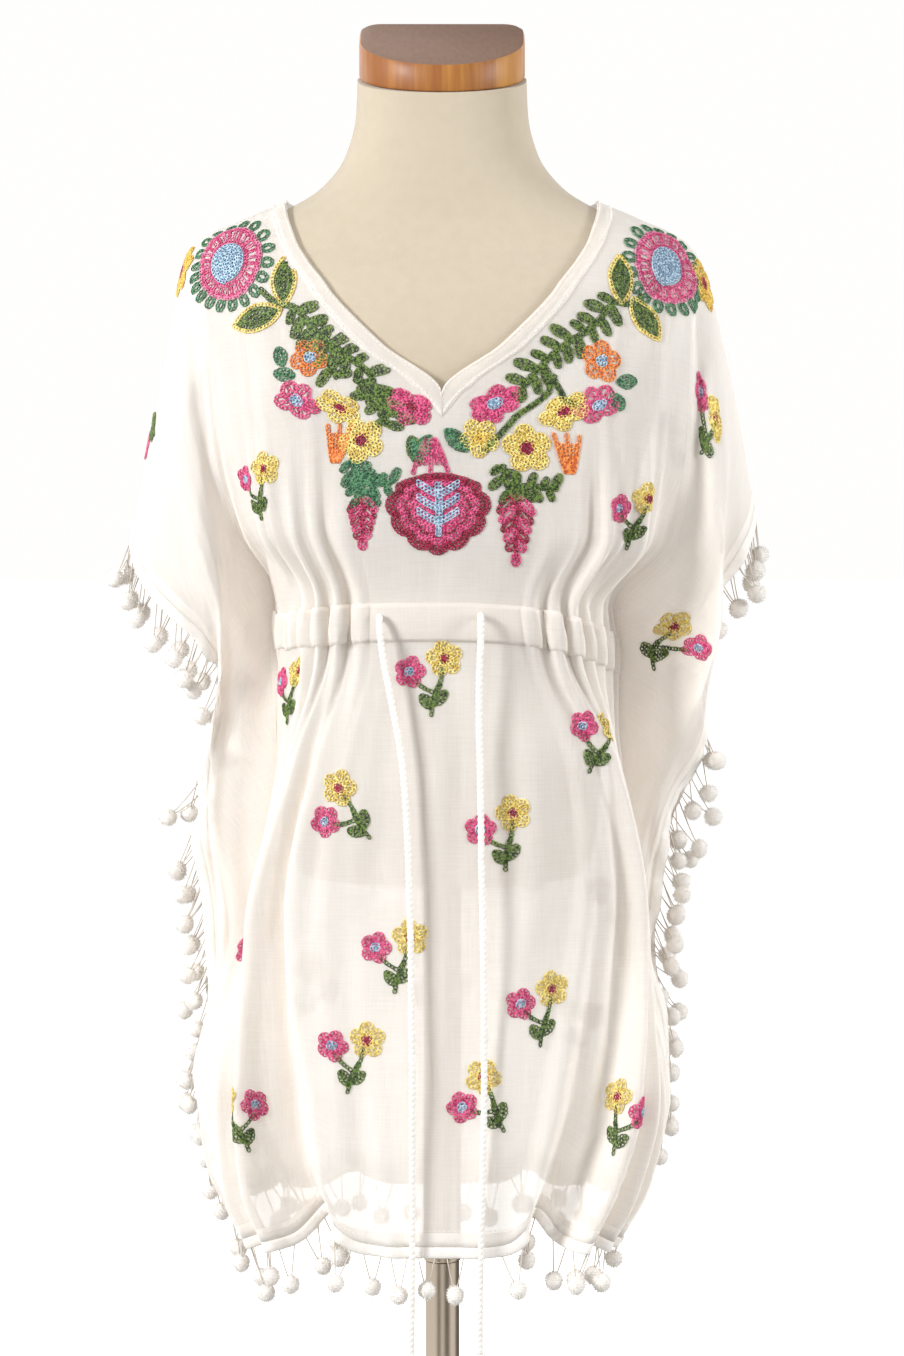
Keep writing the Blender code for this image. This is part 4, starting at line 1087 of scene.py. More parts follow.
@dataclass
class PanelPiece:
    """A whole front or back panel, sewn as one cloth down the centre line."""

    panel: Panel
    thickness: float = CLOTH
    joined_within: float = 0.6

    def __post_init__(self) -> None:
        """Makes both halves."""
        self.halves = {side: Cloth(self.panel, side) for side in (-1, 1)}

    def at(self, u: Array, v: Array) -> tuple[Array, Array]:
        """Points and normals at signed places on the flat cut."""
        points, normals = np.empty((len(u), 3)), np.empty((len(u), 3))
        for side, half in self.halves.items():
            mine = (u < 0) == (side < 0)
            if mine.any():
                points[mine], normals[mine] = half.at(np.abs(u[mine]), v[mine])
        return points, normals

    def nearest(self, x: float, z: float) -> tuple[float, float]:
        """The signed place on the flat cut that is seen at a point of the front or back view."""
        best = (math.inf, 0.0, 0.0)
        for side, half in self.halves.items():
            at_x, at_y, at_z = np.moveaxis(half.points, -1, 0)
            nearer = (-VIEW_PLANE - at_y) * (self.panel is Panel.FRONT)
            away = (at_x * (1 + nearer / VIEW_DISTANCE) - x) ** 2 + (at_z - nearer * VIEW_SLOPE - z) ** 2
            seen = half.normals[..., 1] * self.panel.value < -0.15
            away = np.where(seen, away + 0.02 * (at_y * self.panel.value + 120), 1e9)
            r, c = np.unravel_index(np.argmin(away), away.shape)
            best = min(best, (away[r, c], side * half.u[r, c], half.v[r, c]))
        return best[1:]

    def covers(self, u: Array, v: Array) -> Array:
        """Whether signed places on the flat cut are on the cloth, with a small margin."""
        found = np.zeros(len(u), bool)
        for side, half in self.halves.items():
            first, last = (np.interp(v, half.v[:, 0], half.u[:, k]) for k in (0, -1))
            inside = (np.abs(u) > np.where(first > 8, first + 5.5, -1)) & (np.abs(u) < last - 2)
            hem = np.interp(np.abs(u), half.u[-1], half.v[-1])
            found |= ((u < 0) == (side < 0)) & inside & (v > 1.5) & (v < hem - 2)
        return found

    def build(self) -> Piece:
        """The panel's cloth."""
        left, right = self.halves.values()
        rows, columns = left.u.shape
        joined = np.linalg.norm(left.points[:, 0] - right.points[:, 0], axis=1) < self.joined_within
        seam = (left.points[joined, 0] + right.points[joined, 0]) / 2
        number = np.arange(rows * columns).reshape(rows, columns)
        numbers = {-1: number, 1: number + rows * columns}
        numbers[1][joined, 0] = number[joined, 0]
        points, cuts, edges, faces = [], [], [], []
        for side, half in self.halves.items():
            own = half.points.copy()
            own[joined, 0] = seam
            points.append(own.reshape(-1, 3))
            from_edge = np.minimum(half.side_distance, half.edge_distance)
            from_seam = np.abs(half.u - half.u[:, half.body_columns, None])
            cuts.append(np.stack([side * half.u, half.v], axis=-1).reshape(-1, 2) * MM)
            edges.append(np.stack([from_edge, from_seam], axis=-1).reshape(-1, 2) * MM)
            n = numbers[side]
            quads = np.stack([n[:-1, :-1], n[1:, :-1], n[1:, 1:], n[:-1, 1:]], axis=-1).reshape(-1, 4)
            faces.append(quads if side * self.panel.value > 0 else quads[:, ::-1])
        maps = {"cut": np.concatenate(cuts), "edge": np.concatenate(edges)}
        word = self.panel.word
        made = mesh_object(f"{word}_cloth", np.concatenate(points), np.concatenate(faces), GAUZE, maps)
        drop_loose(made)
        add_wall(made, self.thickness)
        return keep(made, "cloth", f"{word}_panel")


def drop_loose(piece: Piece) -> None:
    """Deletes the points that no face uses."""
    shape = bmesh.new()
    shape.from_mesh(piece.data)
    bmesh.ops.delete(shape, geom=[v for v in shape.verts if not v.link_faces], context="VERTS")
    shape.to_mesh(piece.data)
    shape.free()


@dataclass
class Casing:
    """The drawstring casing: a puckered strip from side seam to side seam."""

    panel: Panel
    columns: int = 240
    rows: int = 9
    lift: float = 0.9
    puff: float = 1.2
    thickness: float = 0.8

    def grid(self, margin: float = 0.0, extra: float = 0.0) -> Array:
        """Points of the strip.

        Args:
            margin: How far inside its long edges the first and last rows lie.
            extra: How far above the strip the points are.

        Returns:
            Rows of points from one side seam to the other.
        """
        share = np.linspace(0, 1, self.rows)
        downs = CASING_TOP + margin + share * (CASING_FOOT - CASING_TOP - 2 * margin)
        across, down = np.meshgrid(np.linspace(0, 0.985, self.columns // 2 + 1), downs)
        gathered, turn = smooth(0.2, 0.36, across), across * 2 * math.pi
        pucker = 0.6 * np.sin(turn / 0.031 + 1.1 * np.sin(down / 5)) + 0.5 * np.sin(turn / 0.047 + 2.0)
        puff = self.puff * np.sin(math.pi * share)[:, None] ** 0.7
        down = down + 0.8 * np.sin(across * 61.0) * gathered
        left, right = (surface(self.panel, side, across, down + waist_drop(side, across),
            self.lift + puff + pucker * gathered + extra) for side in (-1, 1))
        return np.concatenate([left[:, ::-1], right[:, 1:]], axis=1)

    def build(self) -> Piece:
        """The strip of cloth."""
        grid, word = self.grid(), self.panel.word
        rows, columns = grid.shape[:2]
        cut = np.stack(np.meshgrid(np.linspace(-0.2, 0.2, columns), np.linspace(0, 0.024, rows)), axis=-1)
        faces = grid_faces(rows, columns, flip=self.panel is Panel.BACK)
        made = mesh_object(f"{word}_casing_cloth", grid.reshape(-1, 3), faces, DOUBLED_GAUZE,
            {"cut": cut.reshape(-1, 2)})
        add_wall(made, self.thickness)
        return keep(made, "cloth", f"{word}_casing")


@dataclass
class Binding:
    """The bias binding round the neckline, softly rounded."""

    along: int = 90
    wide: int = 7
    height: float = 0.6
    thickness: float = 0.9

    def strip(self, panel: Panel, side: int, shares: Array, lifts: Array) -> Array:
        """Lines along one quarter of the neckline, from the shoulder to the centre.

        Args:
            panel: Front or back.
            side: -1 or +1.
            shares: How far from the inner edge to the outer one each line is.
            lifts: How far each line is off the cloth.

        Returns:
            One row of points for each place along it.
        """
        front = panel is Panel.FRONT
        run = (np.linspace(0.012, 1, self.along) if front
            else np.sin(np.linspace(0.02, math.pi / 2, self.along)))
        inner_down = (V_DOWN if front else NAPE_INNER[1]) * run
        outer_down = ((V_FOOT if front else NAPE_OUTER[1]) - 0.4) * run
        outer = inner_limit(panel, side, outer_down, gap=0.4)
        outer[-1] = 0
        across = shares[None, :] * outer[:, None]
        down = inner_down[:, None] + shares[None, :] * (outer_down - inner_down)[:, None]
        return surface(panel, side, across, down, np.broadcast_to(lifts, across.shape))

    def loop(self, shares: Array, lifts: Array) -> Array:
        """Lines round the whole neckline, starting at the point of the V."""
        (left, right), (left_back, right_back) = ([self.strip(panel, side, shares, lifts) for side in (-1, 1)]
            for panel in Panel)
        tip, back = (left[-1:] + right[-1:]) / 2, (left_back[-1:] + right_back[-1:]) / 2
        return np.concatenate([tip, left[-2::-1], left_back[:-1], back, right_back[-2::-1], right[:-1]])

    def build(self) -> Piece:
        """The binding."""
        shares = np.linspace(0, 1, self.wide)
        lifts = 0.3 + self.height * np.sin(math.pi * (0.08 + 0.84 * shares)) ** 0.6
        grid = self.loop(shares, lifts)
        at = lengths(np.concatenate([grid[:, 0], grid[:1, 0]]))[:-1]
        cut = np.stack(np.meshgrid(at, shares * 10.0, indexing="ij"), axis=-1).reshape(-1, 2) * MM
        faces = np.roll(grid_faces(len(grid) + 1, self.wide, flip=True) % (len(grid) * self.wide), 1, axis=1)
        made = mesh_object("neck_binding_cloth", grid.reshape(-1, 3), faces, DOUBLED_GAUZE, {"cut": cut})
        outward(made, Vector((0, -0.5, 0.83)))
        add_wall(made, self.thickness)
        return keep(made, "cloth", "neck_binding")


def outward(piece: Piece, seen_from: Vector) -> None:
    """Turns an open strip's faces round if they face away from a point that sees its outside."""
    front = [f for f in piece.data.polygons if f.center.y < -0.03]
    if sum((seen_from - f.center).dot(f.normal) * f.area for f in front) < 0:
        piece.data.flip_normals()


@dataclass
class Drawstring:
    """One free end of the twisted drawstring, with the bound bell on it."""

    name: str
    route: tuple
    diameter: float = 4.2
    pitch: float = 7.0
    step: float = 0.75
    sides: int = 14
    bell_sides: int = 40

    def build(self) -> None:
        """The cord and its bell."""
        line = smooth_line(self.route, self.step)
        run = unit(np.gradient(line, axis=0))
        across = unit(np.cross(run, np.array([1.0, 0.15, 0.0])))
        at, turn = lengths(line), around(self.sides)
        spin = turn - 2 * math.pi * at[:, None] / self.pitch
        lobes = self.diameter / 2 * (0.60 + 0.42 * np.abs(np.cos(spin)) ** 0.75)
        turn = turn[None, :, None]
        ring = across[:, None] * np.cos(turn) + np.cross(run, across)[:, None] * np.sin(turn)
        points = (line[:, None] + ring * lobes[..., None]).reshape(-1, 3)
        cord = mesh_object(f"{self.name}_cord", points, capped(len(line), self.sides, flip=True), CORD_YARN)
        right_way(cord)
        bell = self.bell(line[-1])
        keep(cord, "cord", self.name)
        keep(bell, "cord", f"{self.name}_end")

    def bell(self, end: Array) -> Piece:
        """The bound end: a neck of wrapped thread over a soft bell of cut strands."""
        profile = ((0.0, 2.2), (0.4, 3.1), (2.0, 3.4), (4.2, 3.3), (5.4, 3.0), (6.6, 3.7), (9.0, 4.8),
            (13.0, 5.4), (17.0, 5.5), (20.5, 5.2), (23.0, 4.6), (24.0, 3.6))
        turn, neck = around(self.bell_sides), 6.2
        fall = np.concatenate([np.linspace(0, 24.0, 61), [23.9, 23.6, 23.4]])
        radius = np.concatenate([np.interp(fall[:61], *zip(*profile)), [2.6, 1.3, 0.05]])
        wrap = np.where(fall < neck, 0.22 * np.abs(np.sin(math.pi * fall / 0.9)), 0.0)
        strands = (fall >= neck)[:, None] * 0.24 * np.abs(np.sin(turn * 9 + fall[:, None] * 0.12))
        reach = (radius + wrap)[:, None] + strands * np.minimum(radius, 1)[:, None]
        z = np.broadcast_to((end[2] - 0.3 - fall)[:, None], reach.shape)
        points = np.stack([end[0] + reach * np.cos(turn), end[1] + reach * np.sin(turn), z], axis=-1)
        faces = capped(len(fall), len(turn))
        bell = mesh_object(f"{self.name}_bell", points.reshape(-1, 3), faces, CORD_YARN)
        right_way(bell)
        return bell


def right_way(piece: Piece, middle: Sequence[float] = (0, 0, 0)) -> None:
    """Turns a closed piece's faces away from a point inside it."""
    centre = Vector(middle)
    if sum((f.center - centre).dot(f.normal) * f.area for f in piece.data.polygons) < 0:
        piece.data.flip_normals()


# The dress form and its stand


@dataclass
class DressForm:
    """The jersey torso and the pine neck cap."""

    sides: int = 120
    rows: int = 150
    cap_half_width: float = 50.0
    cap_front: float = 47.0
    cap_back: float = 33.0
    cap_corner: float = 11.0
    cap_thick: float = 17.0
    cap_slope: float = 0.14
    cap_gap: float = 0.3

    def torso(self) -> Piece:
        """The torso and neck, closed and slightly rounded at its foot."""
        foot, top = FORM_RINGS[0].z, FORM_RINGS[-1].z
        heights = np.concatenate([[foot], np.linspace(foot, top, self.rows)])
        inset = np.concatenate([[0.93, 0.985], np.ones(self.rows - 1)])
        cos, sin = np.cos(around(self.sides)), np.sin(around(self.sides))
        x, y = (np.sign(part) * np.abs(part) ** (2 / FORM_ROUNDNESS) for part in (cos, sin))
        width, front, back = ((form_section(heights, column) * inset)[:, None]
            for column in ("half_width", "front", "back"))
        deep = np.where(sin < 0, front, back) * y
        tilt = NECK_TILT * np.clip((heights - NECK_TILT_FROM) / (top - NECK_TILT_FROM), 0, None)
        points = np.stack([width * x, deep, heights[:, None] + deep * tilt[:, None]], axis=-1)
        faces = capped(len(heights), self.sides, flip=True)
        made = mesh_object("form_torso", points.reshape(-1, 3), faces, FORM_JERSEY)
        right_way(made, (0, 0, 0.7))
        made.data.set_sharp_from_angle(angle=math.radians(50))
        return keep(made, "jersey", "dress_form")

    def cap(self) -> Piece:
        """The wooden cap with rounded edges, thicker at the back."""
        bow, corner = math.pi * (1 + np.linspace(0, 1, 49)), math.pi / 2 * np.linspace(0, 1, 9)
        front = np.column_stack([self.cap_half_width * np.cos(bow), self.cap_front * np.sin(bow)])
        bend = np.column_stack([self.cap_half_width - self.cap_corner + self.cap_corner * np.cos(corner),
            self.cap_back - self.cap_corner + self.cap_corner * np.sin(corner)])
        outline = np.concatenate([front, bend, bend[::-1] * (-1, 1)])
        foot = FORM_RINGS[-1].z + self.cap_gap + outline[:, 1] * NECK_TILT
        head = foot + self.cap_thick + (outline[:, 1] + self.cap_front) * self.cap_slope
        way = unit(outline - (0.0, (self.cap_back - self.cap_front) / 2))
        rounded = ((foot, 2.4, 0.0), (foot, 0.7, 0.7), (foot, 0.0, 2.4), (head, 0.0, -3.2), (head, 0.9, -0.9),
            (head, 3.2, 0.0))
        rows = [np.column_stack([outline - way * inset, level + drop]) for level, inset, drop in rounded]
        made = mesh_object("pine_cap", np.concatenate(rows), capped(len(rows), len(outline)), NECK_PINE)
        right_way(made, (0, 0, 0.978))
        made.data.set_sharp_from_angle(angle=math.radians(35))
        return keep(made, "wood", "neck_cap")

    def build(self) -> None:
        """Both pieces."""
        self.torso()
        self.cap()


@dataclass
class Stand:
    """The base, both lengths of pole and the socket under the form."""

    sides: int = 96
    base_radius: float = 150.0
    base_thick: float = 8.0
    hub_radius: float = 19.0
    hub_top: float = 26.0
    lower_radius: float = 10.5
    upper_radius: float = 11.6
    step_z: float = 238.0
    socket_radius: float = 34.0
    socket_thick: float = 7.0
    gap: float = 0.3

    def turned(self, name: str, rim: Sequence[tuple[float, float]], finish: Finish, node: str) -> None:
        """A turned piece.

        Args:
            name: Its name.
            rim: Radius and height from its top to its foot.
            finish: Its finish.
            node: The CAD node that it stands for.
        """
        head, foot, sides = len(rim) * self.sides, len(rim) * self.sides + 1, range(self.sides)
        points = [(r * math.cos(t), r * math.sin(t), z) for r, z in rim for t in around(self.sides)]
        points += [(0, 0, rim[0][1]), (0, 0, rim[-1][1])]
        faces, last = grid_faces(len(rim), self.sides, ring=True).tolist(), head - self.sides
        for k, n in zip(sides, [*sides[1:], 0]):
            faces += [[head, k, n], [foot, last + n, last + k]]
        made = mesh_object(name, np.array(points), faces, finish)
        right_way(made, (0, 0, (rim[0][1] + rim[-1][1]) / 2 * MM))
        made.data.set_sharp_from_angle(angle=math.radians(32))
        keep(made, "steel", node)

    def build(self) -> None:
        """Every piece of the stand."""
        form_foot = FORM_RINGS[0].z
        socket_foot = form_foot - self.gap - self.socket_thick
        r, hub, thick, e = self.base_radius, self.hub_radius, self.base_thick, 1.6
        self.turned("base_plate", [(hub - e, self.hub_top), (hub - 0.5, self.hub_top - 0.5),
            (hub, self.hub_top - e), (hub, thick + 4), (hub + 1.2, thick + 1.2), (hub + 4, thick),
            (r - e, thick), (r - 0.5, thick - 0.5), (r, thick - e), (r, 0.0)], BASE_STEEL, "stand_base")
        r, step = self.lower_radius, self.step_z
        self.turned("pole_lower", [(r, step - self.gap), (r, self.hub_top + self.gap)], POLE_STEEL,
            "lower_pole")
        r = self.upper_radius
        self.turned("pole_upper", [(r, socket_foot - self.gap), (r, step + 7), (r + 0.2, step + 6),
            (r + 0.2, step + 1.4), (r - 0.3, step + 0.4), (r - 1.4, step)], POLE_STEEL, "upper_pole")
        r, high = self.socket_radius, form_foot - self.gap
        self.turned("socket_plate", [(r - 0.8, high), (r, high - 0.8), (r, socket_foot + 0.8),
            (r - 0.8, socket_foot)], BASE_STEEL, "form_socket")


# Camera, lights and floor


@dataclass
class Studio:
    """The photograph's view, soft light and a pale floor."""

    distance: float = 2.6
    elevation: float = 5.5
    aim: tuple = (0.006, -0.05, 0.605)
    height: float = 0.814
    ambient: float = 0.62
    lit: tuple = (0.0, 0.0, 0.6)
    floor_reach: float = 9.0

    def camera(self) -> None:
        """The camera at the photograph's angle."""
        data = bpy.data.cameras.new("photo_view")
        lift = math.radians(self.elevation)
        back = Vector((0, -math.cos(lift), math.sin(lift)))
        view = self.stand("photo_view", data, Vector(self.aim) + back * self.distance, self.aim)
        data.sensor_fit = "VERTICAL"
        data.sensor_height = 36.0
        data.lens = 36.0 * self.distance / self.height
        bpy.context.scene.camera = view

    def stand(self, name: str, data: bpy.types.ID, place: Sequence[float], aim: Sequence[float]) -> Piece:
        """Stands a camera or a light somewhere, pointed at something.

        Args:
            name: Its name.
            data: The camera or light.
            place: Where it stands.
            aim: What it points at.

        Returns:
            The object.
        """
        made = bpy.data.objects.new(name, data)
        made.location = place
        made.rotation_euler = (Vector(aim) - Vector(place)).to_track_quat("-Z", "Y").to_euler()
        bpy.context.scene.collection.objects.link(made)
        return made

    def light(self, name: str, place: Sequence[float], size: float, power: float) -> None:
        """A soft square light of that size and power."""
        data = bpy.data.lights.new(name, "AREA")
        data.size = size
        data.energy = power
        self.stand(name, data, place, self.lit)

    def flag(self, wiring: Wiring, turn: Node, middle: float, half: float) -> Node:
        """A dark card, seen only in the polished steel.

        Args:
            wiring: The world's nodes.
            turn: The direction round the stand, in radians from the front.
            middle: Where the card stands, in degrees.
            half: Half its width, in degrees.

        Returns:
            1 on the card and 0 beside it.
        """
        off = wiring.maths("ABSOLUTE", wiring.plus(turn, -math.radians(middle)), 0.0)
        return wiring.maths("LESS_THAN", off, math.radians(half))

    def world(self) -> None:
        """Even light from all round, white to the camera, with the dark cards."""
        world = bpy.data.worlds.new("studio")
        bpy.context.scene.world = world
        world.use_nodes = True
        wiring = Wiring(world.node_tree)
        path = wiring.add("LightPath").outputs
        x, y, _ = wiring.axes(wiring.add("TexCoord").outputs["Generated"])
        turn = wiring.maths("ARCTAN2", x, wiring.times(y, -1.0))
        cards = wiring.plus(self.flag(wiring, turn, -24, 11), self.flag(wiring, turn, 33, 18))
        cards = wiring.plus(cards, self.flag(wiring, turn, 140, 40))
        glossy = wiring.times(path["Is Glossy Ray"], wiring.scaled(cards, -0.85, 1.0 - self.ambient))
        strength = wiring.plus(wiring.scaled(path["Is Camera Ray"], 1.0 - self.ambient, self.ambient), glossy)
        wiring.feed(world.node_tree.nodes["Background"], {0: (1.0, 0.995, 0.985, 1.0), 1: strength})

    def floor(self) -> None:
        """The plain pale floor."""
        mesh, r = bpy.data.meshes.new("floor"), self.floor_reach
        mesh.from_pydata([(-r, -r, 0), (r, -r, 0), (r, r, 0), (-r, r, 0)], [], [(0, 1, 2, 3)])
        ground = bpy.data.objects.new("floor", mesh)
        made = bpy.data.materials.new("pale_floor")
        made.use_nodes = True
        Wiring(made.node_tree).feed(made.node_tree.nodes["Principled BSDF"],
            {"Base Color": (0.9, 0.9, 0.895, 1.0), "Roughness": 0.8,
            "Emission Color": (1.0, 1.0, 0.995, 1.0), "Emission Strength": 0.55})
        mesh.materials.append(made)
        bpy.context.scene.collection.objects.link(ground)
        ground.visible_glossy = ground.visible_diffuse = False

    def build(self) -> None:
        """The whole studio."""
        self.camera()
        bpy.context.scene.view_settings.view_transform = "Standard"
        self.world()
        self.light("key", (-1.9, -1.5, 1.5), 0.6, 62.0)
        self.light("fill", (1.9, -0.7, 1.2), 0.8, 24.0)
        self.light("behind_left", (-1.5, 1.8, 1.2), 1.2, 9.0)
        self.light("behind_right", (1.5, 1.8, 1.2), 1.2, 9.0)
        self.floor()


# What repeats: links, stitches and pompoms, placed by Geometry Nodes


class Repeat:
    """A Geometry Nodes tree that lays one small shape on every point of a mesh.

    The points carry the attributes normal and tangent, which turn the shape.
    """

    name = "repeat"
    sizes: dict[str, float] = {}
    spin = 0.12
    spread = (0.9, 1.12)

    def shape(self, wiring: Wiring, given: Node) -> Node:
        """The shape that is laid.

        Args:
            wiring: The tree's wiring.
            given: The tree's input node, with a socket for each size.

        Returns:
            The shape's last node; the shape lies along X with its top towards Z.
        """
        raise NotImplementedError

    def tree(self) -> Tree:
        """The tree, made once."""
        found = bpy.data.node_groups.get(self.name)
        if found:
            return found
        wiring = Wiring(bpy.data.node_groups.new(self.name, "GeometryNodeTree"))
        sockets = wiring.tree.interface
        for name, kind in (("Geometry", "Geometry"), ("Finish", "Material"), ("Seed", "Int")):
            sockets.new_socket(name, in_out="INPUT", socket_type=f"NodeSocket{kind}")
        for size, value in self.sizes.items():
            sockets.new_socket(size, in_out="INPUT", socket_type="NodeSocketFloat").default_value = value
        sockets.new_socket("Geometry", in_out="OUTPUT", socket_type="NodeSocketGeometry")
        given, out = wiring.add("NodeGroupInput"), wiring.add("NodeGroupOutput")
        seed, (low, high) = given.outputs["Seed"], self.spread
        normal, tangent = (wiring.add("GeometryNodeInputNamedAttribute", {"Name": label},
            data_type="FLOAT_VECTOR") for label in ("normal", "tangent"))
        axes = wiring.add("FunctionNodeAxesToRotation", {0: normal, 1: tangent}, primary_axis="Z",
            secondary_axis="X")
        sway = wiring.random((0, 0, -self.spin), (0, 0, self.spin), seed)
        turned = wiring.add("FunctionNodeRotateRotation",
            {0: axes, 1: wiring.add("FunctionNodeEulerToRotation", {0: sway})}, rotation_space="LOCAL")
        size = wiring.random((low,) * 3, (high,) * 3, seed)
        laid = wiring.add("GeometryNodeInstanceOnPoints",
            {"Points": given, "Instance": self.shape(wiring, given), "Rotation": turned, "Scale": size})
        real = wiring.add("GeometryNodeRealizeInstances", {0: laid})
        soft = wiring.add("GeometryNodeSetShadeSmooth", {"Geometry": real})
        dyed = wiring.add("GeometryNodeSetMaterial", {"Geometry": soft, "Material": given.outputs[1]})
        wiring.feed(out, {0: dyed})
        return wiring.tree

    def lay(self, name: str, points: Array, normals: Array, tangents: Array, finish: Finish,
            seed: int) -> Piece:
        """Lays the shape on points and makes the result a plain mesh.

        Args:
            name: The piece's name.
            points: Where, in millimetres.
            normals: Which way is up at each.
            tangents: Which way is along at each.
            finish: The shape's finish.
            seed: What the small differences start from.

        Returns:
            The piece.
        """
        mesh = bpy.data.meshes.new(f"{name}_places")
        mesh.vertices.add(len(points))
        mesh.vertices.foreach_set("co", (np.asarray(points) * MM).astype(np.float32).ravel())
        for label, vectors in (("normal", normals), ("tangent", tangents)):
            layer = mesh.attributes.new(label, "FLOAT_VECTOR", "POINT")
            layer.data.foreach_set("vector", np.asarray(vectors, np.float32).ravel())
        made = bpy.data.objects.new(name, mesh)
        bpy.context.scene.collection.objects.link(made)
        modifier = made.modifiers.new("repeat", "NODES")
        modifier.node_group = self.tree()
        values = {"Finish": finish.material(), "Seed": seed}
        for item in modifier.node_group.interface.items_tree:
            if item.in_out == "INPUT" and item.name in values:
                modifier[item.identifier] = values[item.name]
        plain = bpy.data.meshes.new_from_object(made.evaluated_get(bpy.context.evaluated_depsgraph_get()))
        made.modifiers.remove(modifier)
        made.data = plain
        for label in {"normal", "tangent"} & set(plain.attributes.keys()):
            plain.attributes.remove(plain.attributes[label])
        return made


class ChainLink(Repeat):
    """One loop of a chain stitch."""

    name = "chain_links"
    sizes = {"Link length": 3.1 * MM, "Link width": 2.0 * MM, "Thread radius": 0.48 * MM}
    spin = 0.16

    def shape(self, wiring: Wiring, given: Node) -> Node:
        """An oval ring of thread."""
        length, width, radius = (given.outputs[size] for size in self.sizes)
        oval = wiring.add("GeometryNodeCurvePrimitiveCircle", {"Resolution": 7, "Radius": 0.5})
        size = wiring.add("CombineXYZ", {0: length, 1: width, 2: 1.0})
        drawn = wiring.add("GeometryNodeTransform", {"Geometry": oval, "Scale": size})
        section = wiring.add("GeometryNodeCurvePrimitiveCircle", {"Resolution": 3, "Radius": radius})
        return wiring.add("GeometryNodeCurveToMesh", {0: drawn, 1: section})


class RunningStitch(Repeat):
    """One machine stitch."""

    name = "running_stitches"
    sizes = {"Stitch length": 2.3 * MM, "Thread radius": 0.24 * MM}
    spin = 0.08

    def shape(self, wiring: Wiring, given: Node) -> Node:
        """A short capsule of thread that dips into the cloth at both ends."""
        ball = wiring.add("GeometryNodeMeshUVSphere", {"Segments": 6, "Rings": 6, "Radius": 0.5})
        width = wiring.times(given.outputs["Thread radius"], 2.0)
        size = wiring.add("CombineXYZ", {0: given.outputs["Stitch length"], 1: width, 2: width})
        return wiring.add("GeometryNodeTransform", {"Geometry": ball, "Scale": size})


class Pompom(Repeat):
    """A soft ball of cut yarn: an uneven core under short strands."""

    name = "pompoms"
    sizes = {"Radius": 5.3 * MM, "Strand length": 1.5 * MM, "Strand radius": 0.32 * MM}
    spin = 3.1
    spread = (0.93, 1.06)

    def shape(self, wiring: Wiring, given: Node) -> Node:
        """The ball, a little taller than it is wide."""
        radius, length, thin = (given.outputs[size] for size in self.sizes)
        core = wiring.add("GeometryNodeMeshIcoSphere", {"Radius": radius, "Subdivisions": 3})
        lumps = wiring.add("TexNoise", {"Scale": 330.0, "Detail": 2.0}, noise_dimensions="3D")
        push = wiring.times(wiring.maths("SUBTRACT", lumps, 0.5), 0.0016)
        normal = wiring.add("GeometryNodeInputNormal")
        offset = wiring.add("VectorMath", {0: normal, 3: push}, operation="SCALE")
        uneven = wiring.add("GeometryNodeSetPosition", {"Geometry": core, "Offset": offset})
        strand = wiring.add("GeometryNodeMeshCone", {"Vertices": 3, "Radius Top": 0.00005,
            "Radius Bottom": thin, "Depth": length}, fill_type="NONE")
        lean = wiring.random((-0.7, -0.7, 0.0), (0.7, 0.7, 3.0), given.outputs["Seed"])
        upright = wiring.add("FunctionNodeAlignRotationToVector", {"Vector": normal}, axis="Z")
        turned = wiring.add("FunctionNodeRotateRotation",
            {0: upright, 1: wiring.add("FunctionNodeEulerToRotation", {0: lean})}, rotation_space="LOCAL")
        tall = wiring.random((0.7, 0.7, 0.5), (1.2, 1.2, 1.3), given.outputs["Seed"])
        coat = wiring.add("GeometryNodeInstanceOnPoints",
            {"Points": uneven, "Instance": strand, "Rotation": turned, "Scale": tall})
        both = wiring.add("GeometryNodeJoinGeometry")
        for part in (wiring.add("GeometryNodeRealizeInstances", {0: coat}), uneven):
            wiring.feed(both, {0: part})
        return wiring.add("GeometryNodeTransform", {"Geometry": both, "Scale": (0.98, 0.98, 1.03)})


class Row(NamedTuple):
    """A sewn line: its points and the way up off the cloth at each."""

    points: Array
    normals: Array


def spaced(row: Row, pitch: float) -> tuple[Array, Array, Array]:
    """Even places along a sewn line.

    Args:
        row: The line.
        pitch: The spacing.

    Returns:
        The points, the normals and the tangents.
    """
    at = lengths(row.points)
    count = max(2, int(round(at[-1] / pitch)))
    stops = (np.arange(count) + 0.5) * at[-1] / count
    ahead, behind = (along(row.points, at, stops + step * pitch) for step in (0.4, -0.4))
    return along(row.points, at, stops), unit(along(row.normals, at, stops)), unit(ahead - behind)


def sew(name: str, rows: Iterable[Row], repeat: Repeat, pitch: float, finish: Finish, seed: int) -> Piece:
    """Lays a stitch along sewn lines, all in one piece.

    Args:
        name: The piece's name.
        rows: The lines.
        repeat: The stitch.
        pitch: The spacing.
        finish: The thread.
        seed: What the small differences start from.

    Returns:
        The piece.
    """
    found = [spaced(row, pitch) for row in rows]
    points, normals, tangents = (np.concatenate([f[k] for f in found]) for k in range(3))
    return repeat.lay(name, points, normals, tangents, finish, seed)


